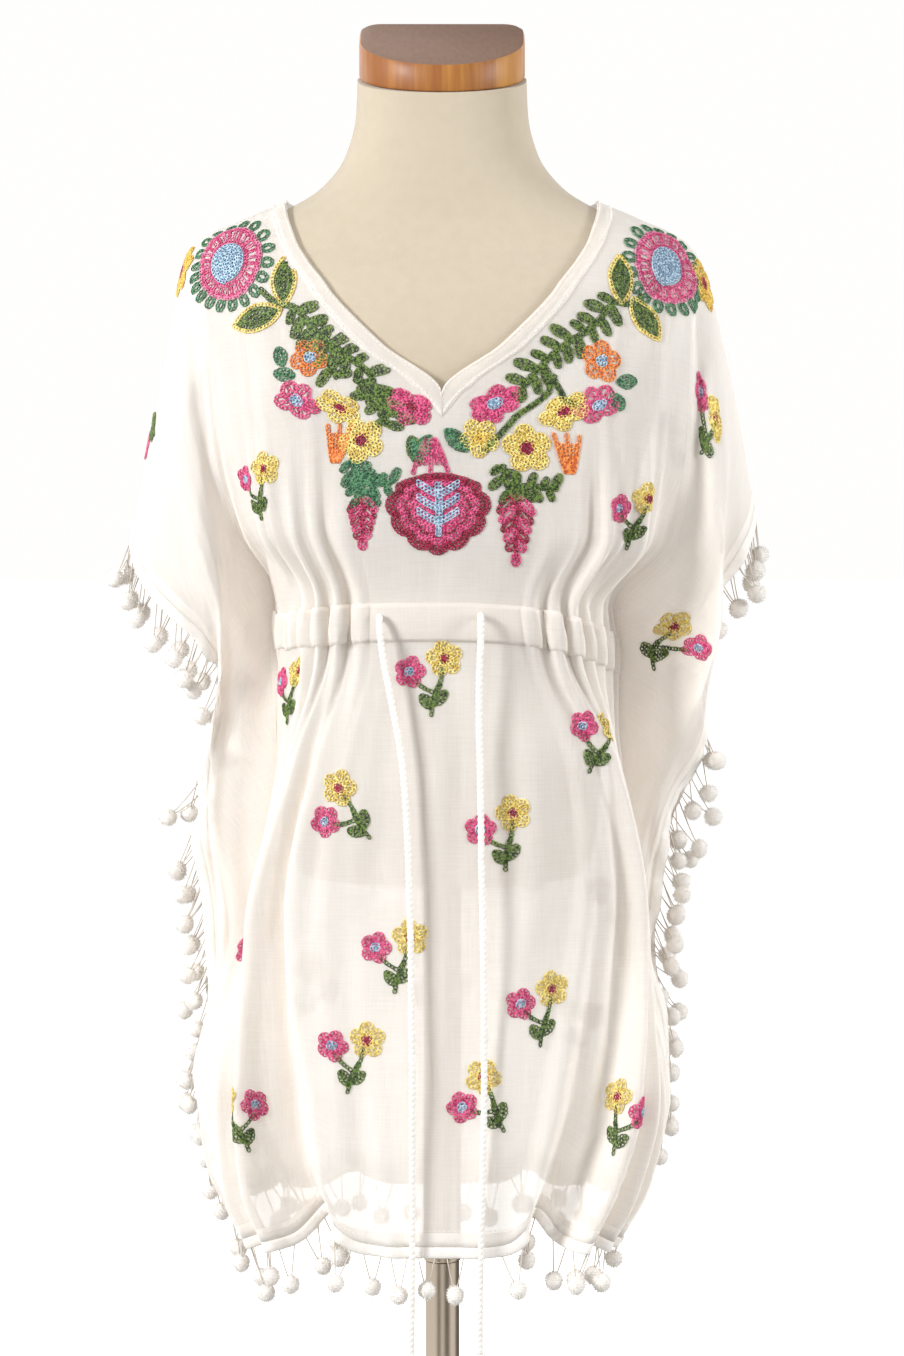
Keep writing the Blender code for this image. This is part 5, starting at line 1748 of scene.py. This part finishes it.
@dataclass
class EdgeTrim:
    """The braid along a panel's free edge, with its pompoms on pairs of threads."""

    cloth: PanelPiece
    step: float = 0.55
    rib: float = 1.65
    thick: float = 1.05
    pitch: float = 16.6
    spread: float = 5.2
    thread: float = 0.38
    sag: float = 1.1
    lengths: tuple = (19.0, 22.0, 16.5, 25.0, 14.0, 29.0)
    leans: tuple = (0.6, 1.1, 0.3, 1.8, 3.0)

    def __post_init__(self) -> None:
        """Follows the free edge from one shoulder round the hem to the other."""
        rows = []
        for side, half in self.cloth.halves.items():
            grid = half.points
            out_side, out_hem = unit(grid[:, -1] - grid[:, -4]), unit(grid[-1] - grid[-4])
            points = np.concatenate([grid[:, -1], grid[-1, -2::-1]])
            row = np.hstack([points, np.concatenate([out_side, out_hem[-2::-1]])])
            rows.append(row if side < 0 else row[-2::-1])
        line = np.concatenate(rows)
        at = lengths(line[:, :3])
        line = along(line, at, np.linspace(0, at[-1], int(at[-1] / self.step)))
        self.corners, outs = line[:, :3], unit(blurred(line[:, 3:], 15))
        run = unit(np.gradient(blurred(self.corners, 7), axis=0))
        outs = unit(outs - (outs * run).sum(axis=1)[:, None] * run)
        outs[[0, -1], 1] = 0
        self.ways, self.ups = outs, unit(np.cross(run, outs) * self.cloth.panel.value)
        self.edge = self.corners + self.ways * (SEAM_GAP + BRAID_WIDTH)

    def braid(self) -> Piece:
        """The braid: a soft flat band of slanted ribs."""
        turn = around(10)
        across, lift = np.cos(turn), np.sign(np.sin(turn)) * np.abs(np.sin(turn)) ** 0.7
        at = np.arange(len(self.corners)) * self.step
        ribs = np.abs(np.sin(math.pi * (at[:, None] + 0.9 * np.abs(across)) / self.rib))
        half = (BRAID_WIDTH + SEAM_GAP + 0.4) / 2
        reach = half - 0.4 + across * (half + 0.35 * (ribs - 0.5) * (across > 0.5))
        height = self.thick * lift * (0.72 + 0.38 * ribs)
        points = (self.corners[:, None] + self.ways[:, None] * reach[..., None]
            + self.ups[:, None] * height[..., None])
        faces = capped(len(points), len(turn))
        made = mesh_object(f"{self.cloth.panel.word}_braid", points.reshape(-1, 3), faces, BRAID_YARN)
        right_way(made)
        return made

    def build(self, hanging: Hanging) -> list[Piece]:
        """The braid, the threads and the pompoms.

        Args:
            hanging: What the pompoms hang clear of.

        Returns:
            The three pieces.
        """
        braid, panel, edge = self.braid(), self.cloth.panel, self.edge
        count, reach = int(len(edge) * self.step / self.pitch), int(self.spread / self.step)
        middles, points, faces = [], [], []
        share = np.linspace(0, 1, 8)[:, None]
        for k in range(count):
            index = int((k + 0.5) * len(edge) / count)
            roots = [edge[min(max(index + way, 1), len(edge) - 2)] - 0.6 * self.ways[index]
                for way in (-reach, reach)]
            leaning = unit(self.ways[index] + (0, 0, 0.001))
            lengths = self.lengths[k % 2:] + self.lengths[:k % 2]
            middle = hanging.hang(panel, edge[index], leaning, roots, self.leans, lengths)
            if middle is None:
                continue
            middles.append(middle)
            for root in roots:
                line = root + share * (middle - root) - np.sin(math.pi * share) * (0, 0, self.sag)
                new_points, new_faces = tube(line, self.thread, 4, len(points))
                points += list(new_points)
                faces += new_faces
        LOG.info("%s: %d of %d pompoms hang free", panel.word, len(middles), count)
        threads = mesh_object(f"{panel.word}_pompom_threads", np.array(points), faces, SHADED_POMPOM_THREAD)
        up, ahead = (np.tile(way, (len(middles), 1)) for way in ((0.0, 0.0, 1.0), (1.0, 0.0, 0.0)))
        balls = Pompom().lay(f"{panel.word}_pompoms", np.array(middles), up, ahead, POMPOM_YARN,
            SEED + panel.value)
        return [keep(piece, "trim", f"{panel.word}_pompom_braid") for piece in (braid, threads, balls)]


def blurred(line: Array, reach: int) -> Array:
    """A line of vectors averaged over that many neighbours on each side."""
    padded = np.concatenate([line[:1].repeat(reach, 0), line, line[-1:].repeat(reach, 0)])
    total = np.cumsum(np.concatenate([np.zeros((1, 3)), padded]), axis=0)
    width = 2 * reach + 1
    return (total[width:] - total[:-width]) / width


@dataclass
class Hanging:
    """What a pompom hangs clear of: both cloths with their braids, the cords, and other pompoms."""

    cloth: dict[Panel, BVHTree]
    cords: Array
    ball_space: float = 12.6
    cloth_space: float = 7.6
    cord_space: float = 8.8
    thread_to_ball: float = 6.6
    thread_space: float = 1.6
    balls: Array = field(default_factory=lambda: np.full((1, 3), 1e6))
    threads: Array = field(default_factory=lambda: np.full((1, 3), 1e6))

    @classmethod
    def around(cls, trims: dict[Panel, EdgeTrim]) -> Hanging:
        """What there is round these trims."""
        cloth = {}
        for panel, trim in trims.items():
            points, faces = [], []
            strip = np.stack([trim.corners, trim.edge])[:, ::6]
            for grid in [*(half.points[::3, ::3] for half in trim.cloth.halves.values()), strip]:
                faces += grid_faces(*grid.shape[:2], first=len(points)).tolist()
                points += [Vector(p) for p in grid.reshape(-1, 3)]
            cloth[panel] = BVHTree.FromPolygons(points, faces)
        cords = np.concatenate([smooth_line(route, 4.0) for route in (LEFT_ROUTE, RIGHT_ROUTE)])
        return cls(cloth, cords)

    def off(self, panel: Panel, points: Array) -> float:
        """The least distance from a panel's cloth to any of the points."""
        return min(self.cloth[panel].find_nearest(Vector(p))[3] for p in points)

    def clear(self, panel: Panel, threads: Array, middle: Array) -> bool:
        """Whether a pompom touches nothing there.

        Args:
            panel: The panel that it hangs from.
            threads: Points along its threads.
            middle: Its middle.

        Returns:
            Whether it hangs free.
        """
        ball = middle[None]
        spaces = ((ball, self.balls, self.ball_space), (ball, self.cords, self.cord_space),
            (ball, self.threads, self.thread_to_ball), (threads, self.balls, self.thread_to_ball))
        return (all(np.linalg.norm(some[:, None] - others, axis=-1).min() > space for some, others,
            space in spaces) and min(self.off(other, ball) for other in Panel) > self.cloth_space
            and min(self.off(other, threads) for other in Panel if other != panel) > self.thread_space)

    def hang(self, panel: Panel, root: Array, way: Array, roots: Sequence[Array],
            leans: Sequence[float], reaches: Sequence[float]) -> Array | None:
        """Finds where a pompom hangs.

        Args:
            panel: The panel that it hangs from.
            root: The middle of its place on the braid.
            way: The way out of the cloth there.
            roots: Where its two threads start.
            leans: How far out it may lean, in turn.
            reaches: The thread lengths that it may have, in turn.

        Returns:
            The pompom's middle, or None where none is free.
        """
        for lean in leans:
            for reach in reaches:
                middle = root + unit(way * lean + np.array([0, 0, -1.0])) * reach
                share = np.linspace(0.25, 0.8, 5)[:, None]
                threads = np.concatenate([start + share * (middle - start) for start in roots])
                if self.clear(panel, threads, middle):
                    self.balls = np.concatenate([self.balls, middle[None]])
                    self.threads = np.concatenate([self.threads, threads])
                    return middle
        return None


# Embroidery: the builder's own arrangement of ordinary flowers and leaves in chain stitch


class Thread(Enum):
    """The embroidery threads, each with a light and a dark tone; the gap between the two is partly the
    thread's own and partly painted highlight and shade.
    """

    PINK = Floss("floss_pink", 0.42, light=colour(234, 104, 152), dark=colour(204, 52, 112))
    ROSE = Floss("floss_rose", 0.42, light=colour(240, 156, 188), dark=colour(218, 108, 150))
    MAROON = Floss("floss_maroon", 0.42, light=colour(176, 36, 78), dark=colour(126, 14, 46))
    YELLOW = Floss("floss_yellow", 0.42, light=colour(250, 232, 144), dark=colour(232, 198, 88))
    GOLD = Floss("floss_gold", 0.42, light=colour(242, 208, 100), dark=colour(214, 166, 54))
    ORANGE = Floss("floss_orange", 0.42, light=colour(250, 160, 84), dark=colour(230, 112, 44))
    OLIVE = Floss("floss_olive", 0.45, light=colour(112, 138, 62), dark=colour(44, 68, 26))
    LEAF = Floss("floss_leaf", 0.45, light=colour(92, 148, 106), dark=colour(44, 98, 68))
    SKY = Floss("floss_sky", 0.42, light=colour(190, 214, 230), dark=colour(134, 170, 202))


PINK, ROSE, MAROON, YELLOW, GOLD, ORANGE, OLIVE, LEAF, SKY = Thread
Line = tuple[Thread, Array]


def put(along: Array, across: Array, turn: float = 0.0, x: float = 0.0, y: float = 0.0) -> Array:
    """Points along and across a motif's axis, turned and moved to their place."""
    c, s = math.cos(turn), math.sin(turn)
    return np.stack([x + along * c - across * s, y + along * s + across * c], axis=1)


def ellipse(x: float, y: float, along: float, wide: float, turn: float) -> Array:
    """An oval line about a middle, by its half length, half width and turn."""
    t = np.linspace(0, 2 * math.pi, 25)
    return put(along * np.cos(t), wide * np.sin(t), turn, x, y)


def ray(x: float, y: float, turn: float, near: float, far: float) -> Array:
    """A short line outwards from a middle."""
    t = np.linspace(0, 1, 9)
    return put(near + (far - near) * t, 0 * t, turn, x, y)


def coil(x: float, y: float, radius: float, gap: float = 1.5) -> Array:
    """A spiral that fills a disc."""
    turns = max(radius / gap, 0.8)
    t = np.linspace(0.05, 1, int(24 * turns) + 8)
    turn = 2 * math.pi * turns * t
    return put(radius * t * np.cos(turn), radius * t * np.sin(turn), 0, x, y)


class Motif:
    """A piece of embroidery, drawn in millimetres about its own middle, X to the right and Y up."""

    def lines(self) -> list[Line]:
        """Its lines of chain stitch."""
        raise NotImplementedError


@dataclass(frozen=True)
class Flower(Motif):
    """Round petals about a filled heart."""

    radius: float
    petal: Thread
    heart: Thread
    petals: int = 5
    turn: float = 0.3
    x: float = 0.0
    y: float = 0.0

    def lines(self) -> list[Line]:
        """An oval for each petal, with a stitched middle, and a coil."""
        heart = 0.30 * self.radius
        wide = 0.92 * math.pi * 0.64 * self.radius / self.petals
        middle = (heart + self.radius) / 2 + 0.3
        half = (self.radius - heart) / 2
        found = [(self.heart, coil(self.x, self.y, heart))]
        for k in range(self.petals):
            turn = self.turn + 2 * math.pi * k / self.petals
            x, y = self.x + middle * math.cos(turn), self.y + middle * math.sin(turn)
            found.append((self.petal, ellipse(x, y, half, wide, turn)))
            if self.radius > 7:
                found.append((self.petal, ray(self.x, self.y, turn, heart + 1.4, self.radius - 1.8)))
            if self.radius > 11:
                found.append((self.petal, ellipse(x, y, half - 1.9, wide - 1.8, turn)))
        return found


@dataclass(frozen=True)
class Leaf(Motif):
    """A pointed leaf: an outline, and a filling of slanted veins."""

    length: float
    width: float
    turn: float
    fill: Thread = OLIVE
    edge: Thread = OLIVE
    x: float = 0.0
    y: float = 0.0

    def lines(self) -> list[Line]:
        """The outline from the stalk to the tip and back, the midrib and the veins."""
        t = np.linspace(0, 1, 14)
        bow = self.width / 2 * np.sin(math.pi * t) ** 0.8
        found = []
        for side in (1, -1):
            found.append((self.edge, self.placed(self.length * t, side * bow)))
            inner = side * (bow - 1.5)
            if self.width > 7:
                found.append((self.fill, self.placed(self.length * (0.12 + 0.76 * t), inner * 0.98)))
            if self.width > 11:
                found.append((self.fill, self.placed(self.length * (0.2 + 0.6 * t), inner * 0.5)))
        found.append((self.fill, self.placed(self.length * t * 0.9, 0 * t)))
        return found

    def placed(self, along: Array, across: Array) -> Array:
        """Points along and across the leaf, turned and moved to its place."""
        return put(along, across, self.turn, self.x, self.y)


@dataclass(frozen=True)
class Sprig(Motif):
    """The scattered motif: a yellow and a pink flower on a forked stem with two leaves."""

    mirror: int = 1
    lean: float = 0.0

    def lines(self) -> list[Line]:
        """The flowers, the stems and the leaves."""
        parts: list[Line] = [(OLIVE, bent([(6, 9), (5, 2), (1, -7), (-1, -20)])),
            (OLIVE, bent([(-11, 1), (-6, -3), (0, -6)])), (OLIVE, bent([(4.5, -1), (2.5, -6), (0.5, -13)])),
            *Flower(9.6, YELLOW, MAROON, 5, 0.5, 7, 14).lines(),
            *Flower(8.2, PINK, SKY, 5, 0.1, -13.5, 6).lines(),
            *Leaf(10.5, 5.0, 0.75, x=0.5, y=-13).lines(), *Leaf(9.5, 5.0, 2.3, x=-0.5, y=-15).lines()]
        return [(thread, put(line[:, 0] * self.mirror, line[:, 1], self.lean)) for thread, line in parts]


@dataclass(frozen=True)
class Medallion(Motif):
    """The round shoulder flower: a pale heart, a fringed ring and a border of green loops."""

    radius: float = 27.0
    loops: int = 19

    def lines(self) -> list[Line]:
        """Coils, rays and loops from the middle outwards."""
        found: list[Line] = [(SKY, coil(0, 0, 11.2, 1.45))]
        for reach, thread in ((12.8, PINK), (20.6, PINK), (22.0, ROSE)):
            found.append((thread, ellipse(0, 0, reach, reach, 0)))
        for k in range(30):
            turn = 2 * math.pi * k / 30
            found.append((PINK if k % 2 else ROSE, ray(0, 0, turn, 13.8, 20.0)))
        for k in range(self.loops):
            turn = 2 * math.pi * (k + 0.5) / self.loops
            middle = (23.0 + self.radius) / 2
            x, y = middle * math.cos(turn), middle * math.sin(turn)
            found.append((LEAF, ellipse(x, y, (self.radius - 23.0) / 2, 2.2, turn)))
        return found


@dataclass(frozen=True)
class Fan(Motif):
    """The large flower under the V: a scalloped fan in two reds with pale veins in its heart."""

    width: float = 30.0
    height: float = 27.0
    lobes: int = 7

    def lines(self) -> list[Line]:
        """Scallops in rings, a pale vein and its branches."""
        shares = (1.0, 0.93, 0.86, 0.78, 0.71, 0.64, 0.56, 0.49, 0.42, 0.34, 0.26, 0.18)
        found: list[Line] = [(MAROON if share in (1.0, 0.93, 0.86, 0.64) else PINK, self.scallop(share))
            for share in shares]
        found += [(SKY, bent([(x, 16), (x + 0.5, 3), (x / 2, -15)])) for x in (-1.0, 1.0)]
        for y in (8.0, 0.0, -8.0):
            for side in (1, -1):
                for up in (0.0, 2.0):
                    found.append((SKY, bent([(0, y + up), (side * 6, y + 3 + up), (side * 12, y + 7 + up)])))
        return found

    def scallop(self, share: float) -> Array:
        """A lobed outline at that share of the full size, closed by a low dome at the top."""
        t = np.linspace(0, 1, 150)
        turn = math.radians(158) + math.radians(224) * t
        lobe = 0.86 + 0.14 * np.abs(np.sin(self.lobes * math.pi * t)) ** 0.6
        x, y = self.width * lobe * np.cos(turn), self.height * lobe * np.sin(turn)
        dome = np.linspace(x[-1], x[0], 40)
        rise = self.height * (0.36 + 0.34 * np.cos(dome / self.width * math.pi / 2.2))
        x = x * (1 - 0.24 * np.clip(-y / self.height, 0, 1) ** 1.5)
        line = np.concatenate([np.stack([x, y], 1), np.stack([dome, rise], 1), [(x[0], y[0])]])
        return line * share + (0, 1.5)


@dataclass(frozen=True)
class Cluster(Motif):
    """A hanging cluster: small petals in two reds down a stem."""

    length: float = 26.0
    width: float = 8.0

    def lines(self) -> list[Line]:
        """Pairs of petals, smaller towards the tip."""
        found: list[Line] = [(MAROON, bent([(0, self.length / 2), (0.6, 0), (0, -self.length / 2)]))]
        pairs = 5
        for k in range(pairs):
            y = self.length * (0.38 - 0.8 * k / pairs)
            reach = self.width * (1 - 0.13 * k)
            for side in (1, -1):
                turn = -math.pi / 2 + side * 0.75
                x = side * reach * 0.42
                thread = PINK if (k + (side > 0)) % 2 else MAROON
                found.append((thread, ellipse(x, y - 2, reach * 0.48, 1.9, turn)))
        found.append((PINK, ellipse(0, -self.length / 2 - 1, 3.0, 1.8, math.pi / 2)))
        return found


@dataclass(frozen=True)
class Bud(Motif):
    """A bell-shaped bud that opens in three points."""

    length: float = 17.0
    width: float = 11.0
    turn: float = -math.pi / 2
    petal: Thread = ORANGE

    def lines(self) -> list[Line]:
        """Rows that fan out from the calyx, with a longer one for each point."""
        found: list[Line] = []
        t = np.linspace(0, 1, 10)
        for k in range(7):
            reach = self.length * (1.0 if k % 3 == 0 else 0.74)
            across = self.width / 2 * (k - 3) / 3 * (0.25 + 0.75 * t**0.8)
            found.append((self.petal, put(reach * t - self.length / 2, across, self.turn)))
        return found


@dataclass(frozen=True)
class Frond:
    """A fern-like stem across the cloth, with leaflets on both sides."""

    way: tuple
    leaflet: float = 6.5
    gap: float = 9.0
    thread: Thread = OLIVE

    def lines(self, stem: Array) -> list[Line]:
        """The stem and its leaflets.

        Args:
            stem: The stem's line on the flat cut, Y up.

        Returns:
            Its lines of chain stitch.
        """
        run = unit(np.gradient(stem, axis=0))
        side = np.stack([-run[:, 1], run[:, 0]], 1)
        found: list[Line] = [(self.thread, stem), (self.thread, stem + 1.25 * side)]
        if not self.leaflet:
            return found
        at = lengths(stem)
        count = int(at[-1] / self.gap)
        for k in range(count + 1):
            for way in (1, -1):
                i = int(np.clip(np.searchsorted(at, (k + 0.25 * way) * self.gap), 0, len(stem) - 1))
                reach = self.leaflet * (0.85 + 0.2 * math.sin(2.1 * k + way))
                tip = unit(run[i] * 0.55 + way * side[i])
                middle = stem[i] + tip * (1.6 + reach / 2)
                turn = math.atan2(tip[1], tip[0])
                found.append((self.thread, ellipse(middle[0], middle[1], reach / 2, 0.20 * reach, turn)))
                found.append((self.thread, ray(stem[i][0], stem[i][1], turn, 1.2, reach - 0.6)))
        return found


class Spot(NamedTuple):
    """A motif and where the viewer sees its middle: X and Z in millimetres."""

    x: float
    z: float
    motif: Motif


def sprigs(*rows: tuple[float, float, int, float]) -> tuple[Spot, ...]:
    """Sprigs from rows of X, Z, mirror and lean."""
    return tuple(Spot(x, z, Sprig(mirror, lean)) for x, z, mirror, lean in rows)


NECKLINE_SPOTS = tuple(map(Spot._make, ((-127.2, 852.4, Medallion(30.0)),
    (133.2, 850.0, Medallion(30.0)), (-153.6, 851.2, Flower(14, GOLD, MAROON, 6)),
    (154.8, 842.8, Flower(14, GOLD, MAROON, 6)), (-93.6, 828.4, Leaf(28, 14, 1.6, OLIVE, YELLOW, y=-1)),
    (-94.8, 824.8, Leaf(33, 16, 3.38, OLIVE, YELLOW)),
    (106.8, 828.4, Leaf(27, 14, 1.6, OLIVE, YELLOW, y=-1)),
    (112.8, 832.0, Leaf(29, 15, -1.0, OLIVE, YELLOW)), (-94.2, 790.0, Leaf(11, 6, 1.9, LEAF, LEAF)),
    (-87.6, 784.0, Leaf(12, 6, 2.9, LEAF, LEAF)), (105.6, 781.0, Leaf(12, 6, 0.2, LEAF, LEAF)),
    (102.0, 774.4, Leaf(11, 6, -0.7, LEAF, LEAF)), (-78.0, 793.6, Flower(10.5, ORANGE, SKY, 5, 0.9)),
    (94.8, 792.4, Flower(11.0, ORANGE, SKY, 5, 0.2)), (-87.0, 770.8, Flower(11.0, PINK, SKY, 5, 0.6)),
    (93.6, 766.6, Flower(11.0, PINK, SKY, 5, 1.2)), (-17.4, 763.6, Flower(11.5, PINK, MAROON, 5, 0.3)),
    (32.4, 765.4, Flower(12.5, PINK, SKY, 6, 0.0)),
    (-61.2, 764.8, Flower(10.5, YELLOW, MAROON, 5, 0.2)),
    (-48.0, 746.2, Flower(12.5, YELLOW, MAROON, 5, 0.7)),
    (72.0, 763.6, Flower(12.0, YELLOW, MAROON, 5, 0.1)),
    (50.4, 741.4, Flower(13.5, YELLOW, MAROON, 5, 0.5)),
    (22.8, 747.4, Flower(10.5, YELLOW, GOLD, 5, 0.9)), (-61.8, 743.2, Bud(23, 15, 1.45)),
    (74.4, 737.2, Bud(24, 16, 1.65)), (-19.2, 748.0, Leaf(16, 8, -1.2, LEAF, OLIVE)),
    (-7.2, 749.2, Leaf(17, 8, -2.2, LEAF, LEAF)), (3.0, 752.8, Leaf(17, 8, -0.75, LEAF, LEAF)),
    (-6.0, 737.8, Bud(20, 21, -1.57, PINK)), (-1.8, 703.6, Fan(30, 27)),
    (-46.8, 701.2, Cluster(27, 10.5)), (45.6, 695.2, Cluster(38, 14.0)))))
NECKLINE_FRONDS = (Frond(((-108.0, 834.4), (-98.4, 828.4), (-87.6, 824.8)), 0.0),
    Frond(((118.8, 834.4), (111.6, 829.6), (102.0, 829.6)), 0.0),
    Frond(((-87.6, 824.8), (-74.4, 809.2), (-58.2, 794.8), (-42.0, 779.2), (-27.6, 760.0)), 11.5, 10.0),
    Frond(((-82.2, 818.8), (-72.0, 798.4), (-62.4, 781.0)), 10.0, 9.6),
    Frond(((-42.0, 779.2), (-39.6, 767.2), (-34.2, 755.2)), 9.0, 9.0),
    Frond(((102.0, 829.6), (88.8, 815.2), (72.0, 800.8), (55.8, 786.4), (42.0, 773.2)), 11.5, 10.0),
    Frond(((66.6, 782.8), (46.8, 763.0), (26.4, 740.8)), 0.0),
    Frond(((66.6, 781.6), (72.0, 770.8), (84.0, 766.0)), 0.0),
    Frond(((-55.2, 734.8), (-51.6, 724.0), (-46.8, 712.0)), 9.0, 8.0, LEAF),
    Frond(((-51.6, 725.2), (-42.0, 720.4), (-31.2, 719.2)), 8.0, 7.6, LEAF),
    Frond(((34.8, 730.0), (39.6, 718.0), (44.4, 709.0)), 9.0, 8.2, OLIVE),
    Frond(((40.8, 716.8), (52.8, 718.0), (68.4, 715.6)), 8.5, 7.8, OLIVE))
FRONT_SPRIGS = sprigs((-110.4, 719.2, 1, -0.1), (-177.6, 760.0, 1, 0.1), (-91.8, 595.6, 1, 0.05),
    (-6.0, 602.8, 1, 0.0), (-58.2, 524.8, 1, 0.8), (94.8, 565.0, 1, -0.35), (38.4, 509.2, 1, 0.1),
    (-104.4, 437.2, 1, 0.0), (-25.2, 436.0, 1, -0.05), (61.2, 407.2, 1, 0.0), (-53.4, 377.2, 1, -0.15),
    (27.6, 352.0, 1, 0.6), (114.0, 701.2, 1, 0.1), (158.4, 757.0, 1, -0.2), (-124.2, 340.0, -1, 0.2),
    (109.8, 340.0, -1, -0.1), (134.4, 628.0, -1, 0.3))
BACK_SPRIGS = sprigs((0, 800, 1, 0.0), (-84, 770, -1, 0.1), (86, 762, 1, 0.5), (-40, 705, 1, 0.7),
    (46, 700, -1, -0.2), (-150, 760, 1, 0.0), (150, 740, -1, 0.2), (-78, 580, 1, -0.1), (12, 570, -1, 0.0),
    (88, 560, 1, 0.4), (-110, 490, -1, 0.3), (-34, 480, 1, 0.0), (44, 470, 1, 0.8), (112, 455, -1, 0.0),
    (-84, 395, 1, 0.5), (0, 380, -1, 0.1), (82, 372, 1, -0.2))


@dataclass
class Embroidery:
    """All the chain stitch on one panel, one piece for each thread."""

    cloth: PanelPiece
    spots: Sequence[Spot]
    fronds: Sequence[Frond] = ()
    pitch: float = 2.3
    lift: float = CLOTH / 2 + 0.55

    def laid(self) -> dict[Thread, list[Row]]:
        """Every line of stitching on the cloth, by its thread."""
        way = self.cloth.panel.value
        rows: dict[Thread, list[Row]] = {thread: [] for thread in Thread}
        for spot in self.spots:
            u, v = self.cloth.nearest(spot.x, spot.z)
            for thread, line in spot.motif.lines():
                raised = 0.35 if thread is SKY else 0.0
                self.lay(rows[thread], line * (way, 1) + (u, -v), raised)
        for frond in self.fronds:
            stem = np.array([self.cloth.nearest(x, z) for x, z in frond.way]) * (1, -1)
            for thread, line in frond.lines(bent(stem)):
                self.lay(rows[thread], line)
        return rows

    def lay(self, rows: list[Row], line: Array, raised: float = 0.0) -> None:
        """Lays one flat line on the cloth, in parts where it runs off the cloth."""
        at = lengths(line)
        fine = np.linspace(0, 1, max(4, int(at[-1])))
        flat = along(line, at / max(at[-1], 1e-6), fine)
        for run in runs(self.cloth.covers(flat[:, 0], -flat[:, 1])):
            if len(run) > 2:
                points, normals = self.cloth.at(flat[run, 0], -flat[run, 1])
                rows.append(Row(points + normals * (self.lift + raised), normals))

    def build(self) -> None:
        """Sews every thread."""
        for number, (thread, rows) in enumerate(self.laid().items()):
            if rows:
                name = f"{self.cloth.panel.word}_{thread.value.name}"
                keep(sew(name, rows, ChainLink(), self.pitch, thread.value, SEED + number), "trim")


def runs(inside: Array) -> list[Array]:
    """The unbroken runs of true places in a list."""
    index = np.flatnonzero(inside)
    return np.split(index, np.flatnonzero(np.diff(index) > 1) + 1) if len(index) else []


@dataclass
class Sewing:
    """The machine stitching: binding, casings, side seams and hems."""

    panels: dict[Panel, PanelPiece]
    pitch: float = 2.9
    inset: float = 7.5

    def build(self) -> None:
        """Every row of stitches."""
        rows = list(self.binding_rows())
        for panel in Panel:
            rows += self.casing_rows(panel)
            rows += self.seam_rows(self.panels[panel])
        keep(sew("machine_stitching", rows, RunningStitch(), self.pitch, SEWING_THREAD, SEED), "trim")

    def binding_rows(self) -> Iterable[Row]:
        """A row along each edge of the binding."""
        binding = Binding(along=150)
        for share, lift in ((0.12, 1.75), (0.88, 1.75)):
            low = binding.loop(np.array([share]), np.array([lift]))[:, 0]
            high = binding.loop(np.array([share]), np.array([lift + 1.0]))[:, 0]
            yield Row(low, unit(high - low))

    def casing_rows(self, panel: Panel) -> list[Row]:
        """A row along each long edge of a casing."""
        casing = Casing(panel)
        low, high = casing.grid(margin=1.7, extra=0.45), casing.grid(margin=1.7, extra=1.45)
        return [Row(low[k], unit(high[k] - low[k])) for k in (0, -1)]

    def seam_rows(self, cloth: PanelPiece) -> list[Row]:
        """The side seams, and the turned edge beside the braid."""
        rows = []
        for side, half in cloth.halves.items():
            seam = half.body_columns
            down = slice(*(int(np.searchsorted(half.v[:, seam], end)) for end in (195, 560)))
            lift = half.normals * (CLOTH / 2 + 0.05)
            rows.append(Row((half.points + lift)[down, seam], half.normals[down, seam]))
            hem, columns = np.abs(half.edge_distance - self.inset).argmin(axis=0), np.arange(half.u.shape[1])
            inner = half.side_distance[hem, columns] > self.inset
            hem, columns = hem[inner], columns[inner]
            rows.append(Row((half.points + lift)[hem, columns], half.normals[hem, columns]))
        return rows


def main() -> None:
    """Builds the blouse, its form and the studio."""
    logging.basicConfig(level=logging.INFO, format="%(message)s")
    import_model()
    Studio().build()
    Drawstring("drawstring_left", LEFT_ROUTE).build()
    Drawstring("drawstring_right", RIGHT_ROUTE).build()
    DressForm().build()
    Stand().build()
    panels = {panel: PanelPiece(panel) for panel in Panel}
    cloths = {panel: (piece.build(), Casing(panel).build()) for panel, piece in panels.items()}
    binding = Binding().build()
    Sewing(panels).build()
    trims = {panel: EdgeTrim(piece) for panel, piece in panels.items()}
    hanging = Hanging.around(trims)
    for panel, trim in trims.items():
        cloth, casing = cloths[panel]
        extra = trim.build(hanging) + ([binding] if panel is Panel.FRONT else [])
    Embroidery(panels[Panel.FRONT], NECKLINE_SPOTS + FRONT_SPRIGS, NECKLINE_FRONDS).build()
    Embroidery(panels[Panel.BACK], BACK_SPRIGS).build()


if __name__ == "__main__":
    main()
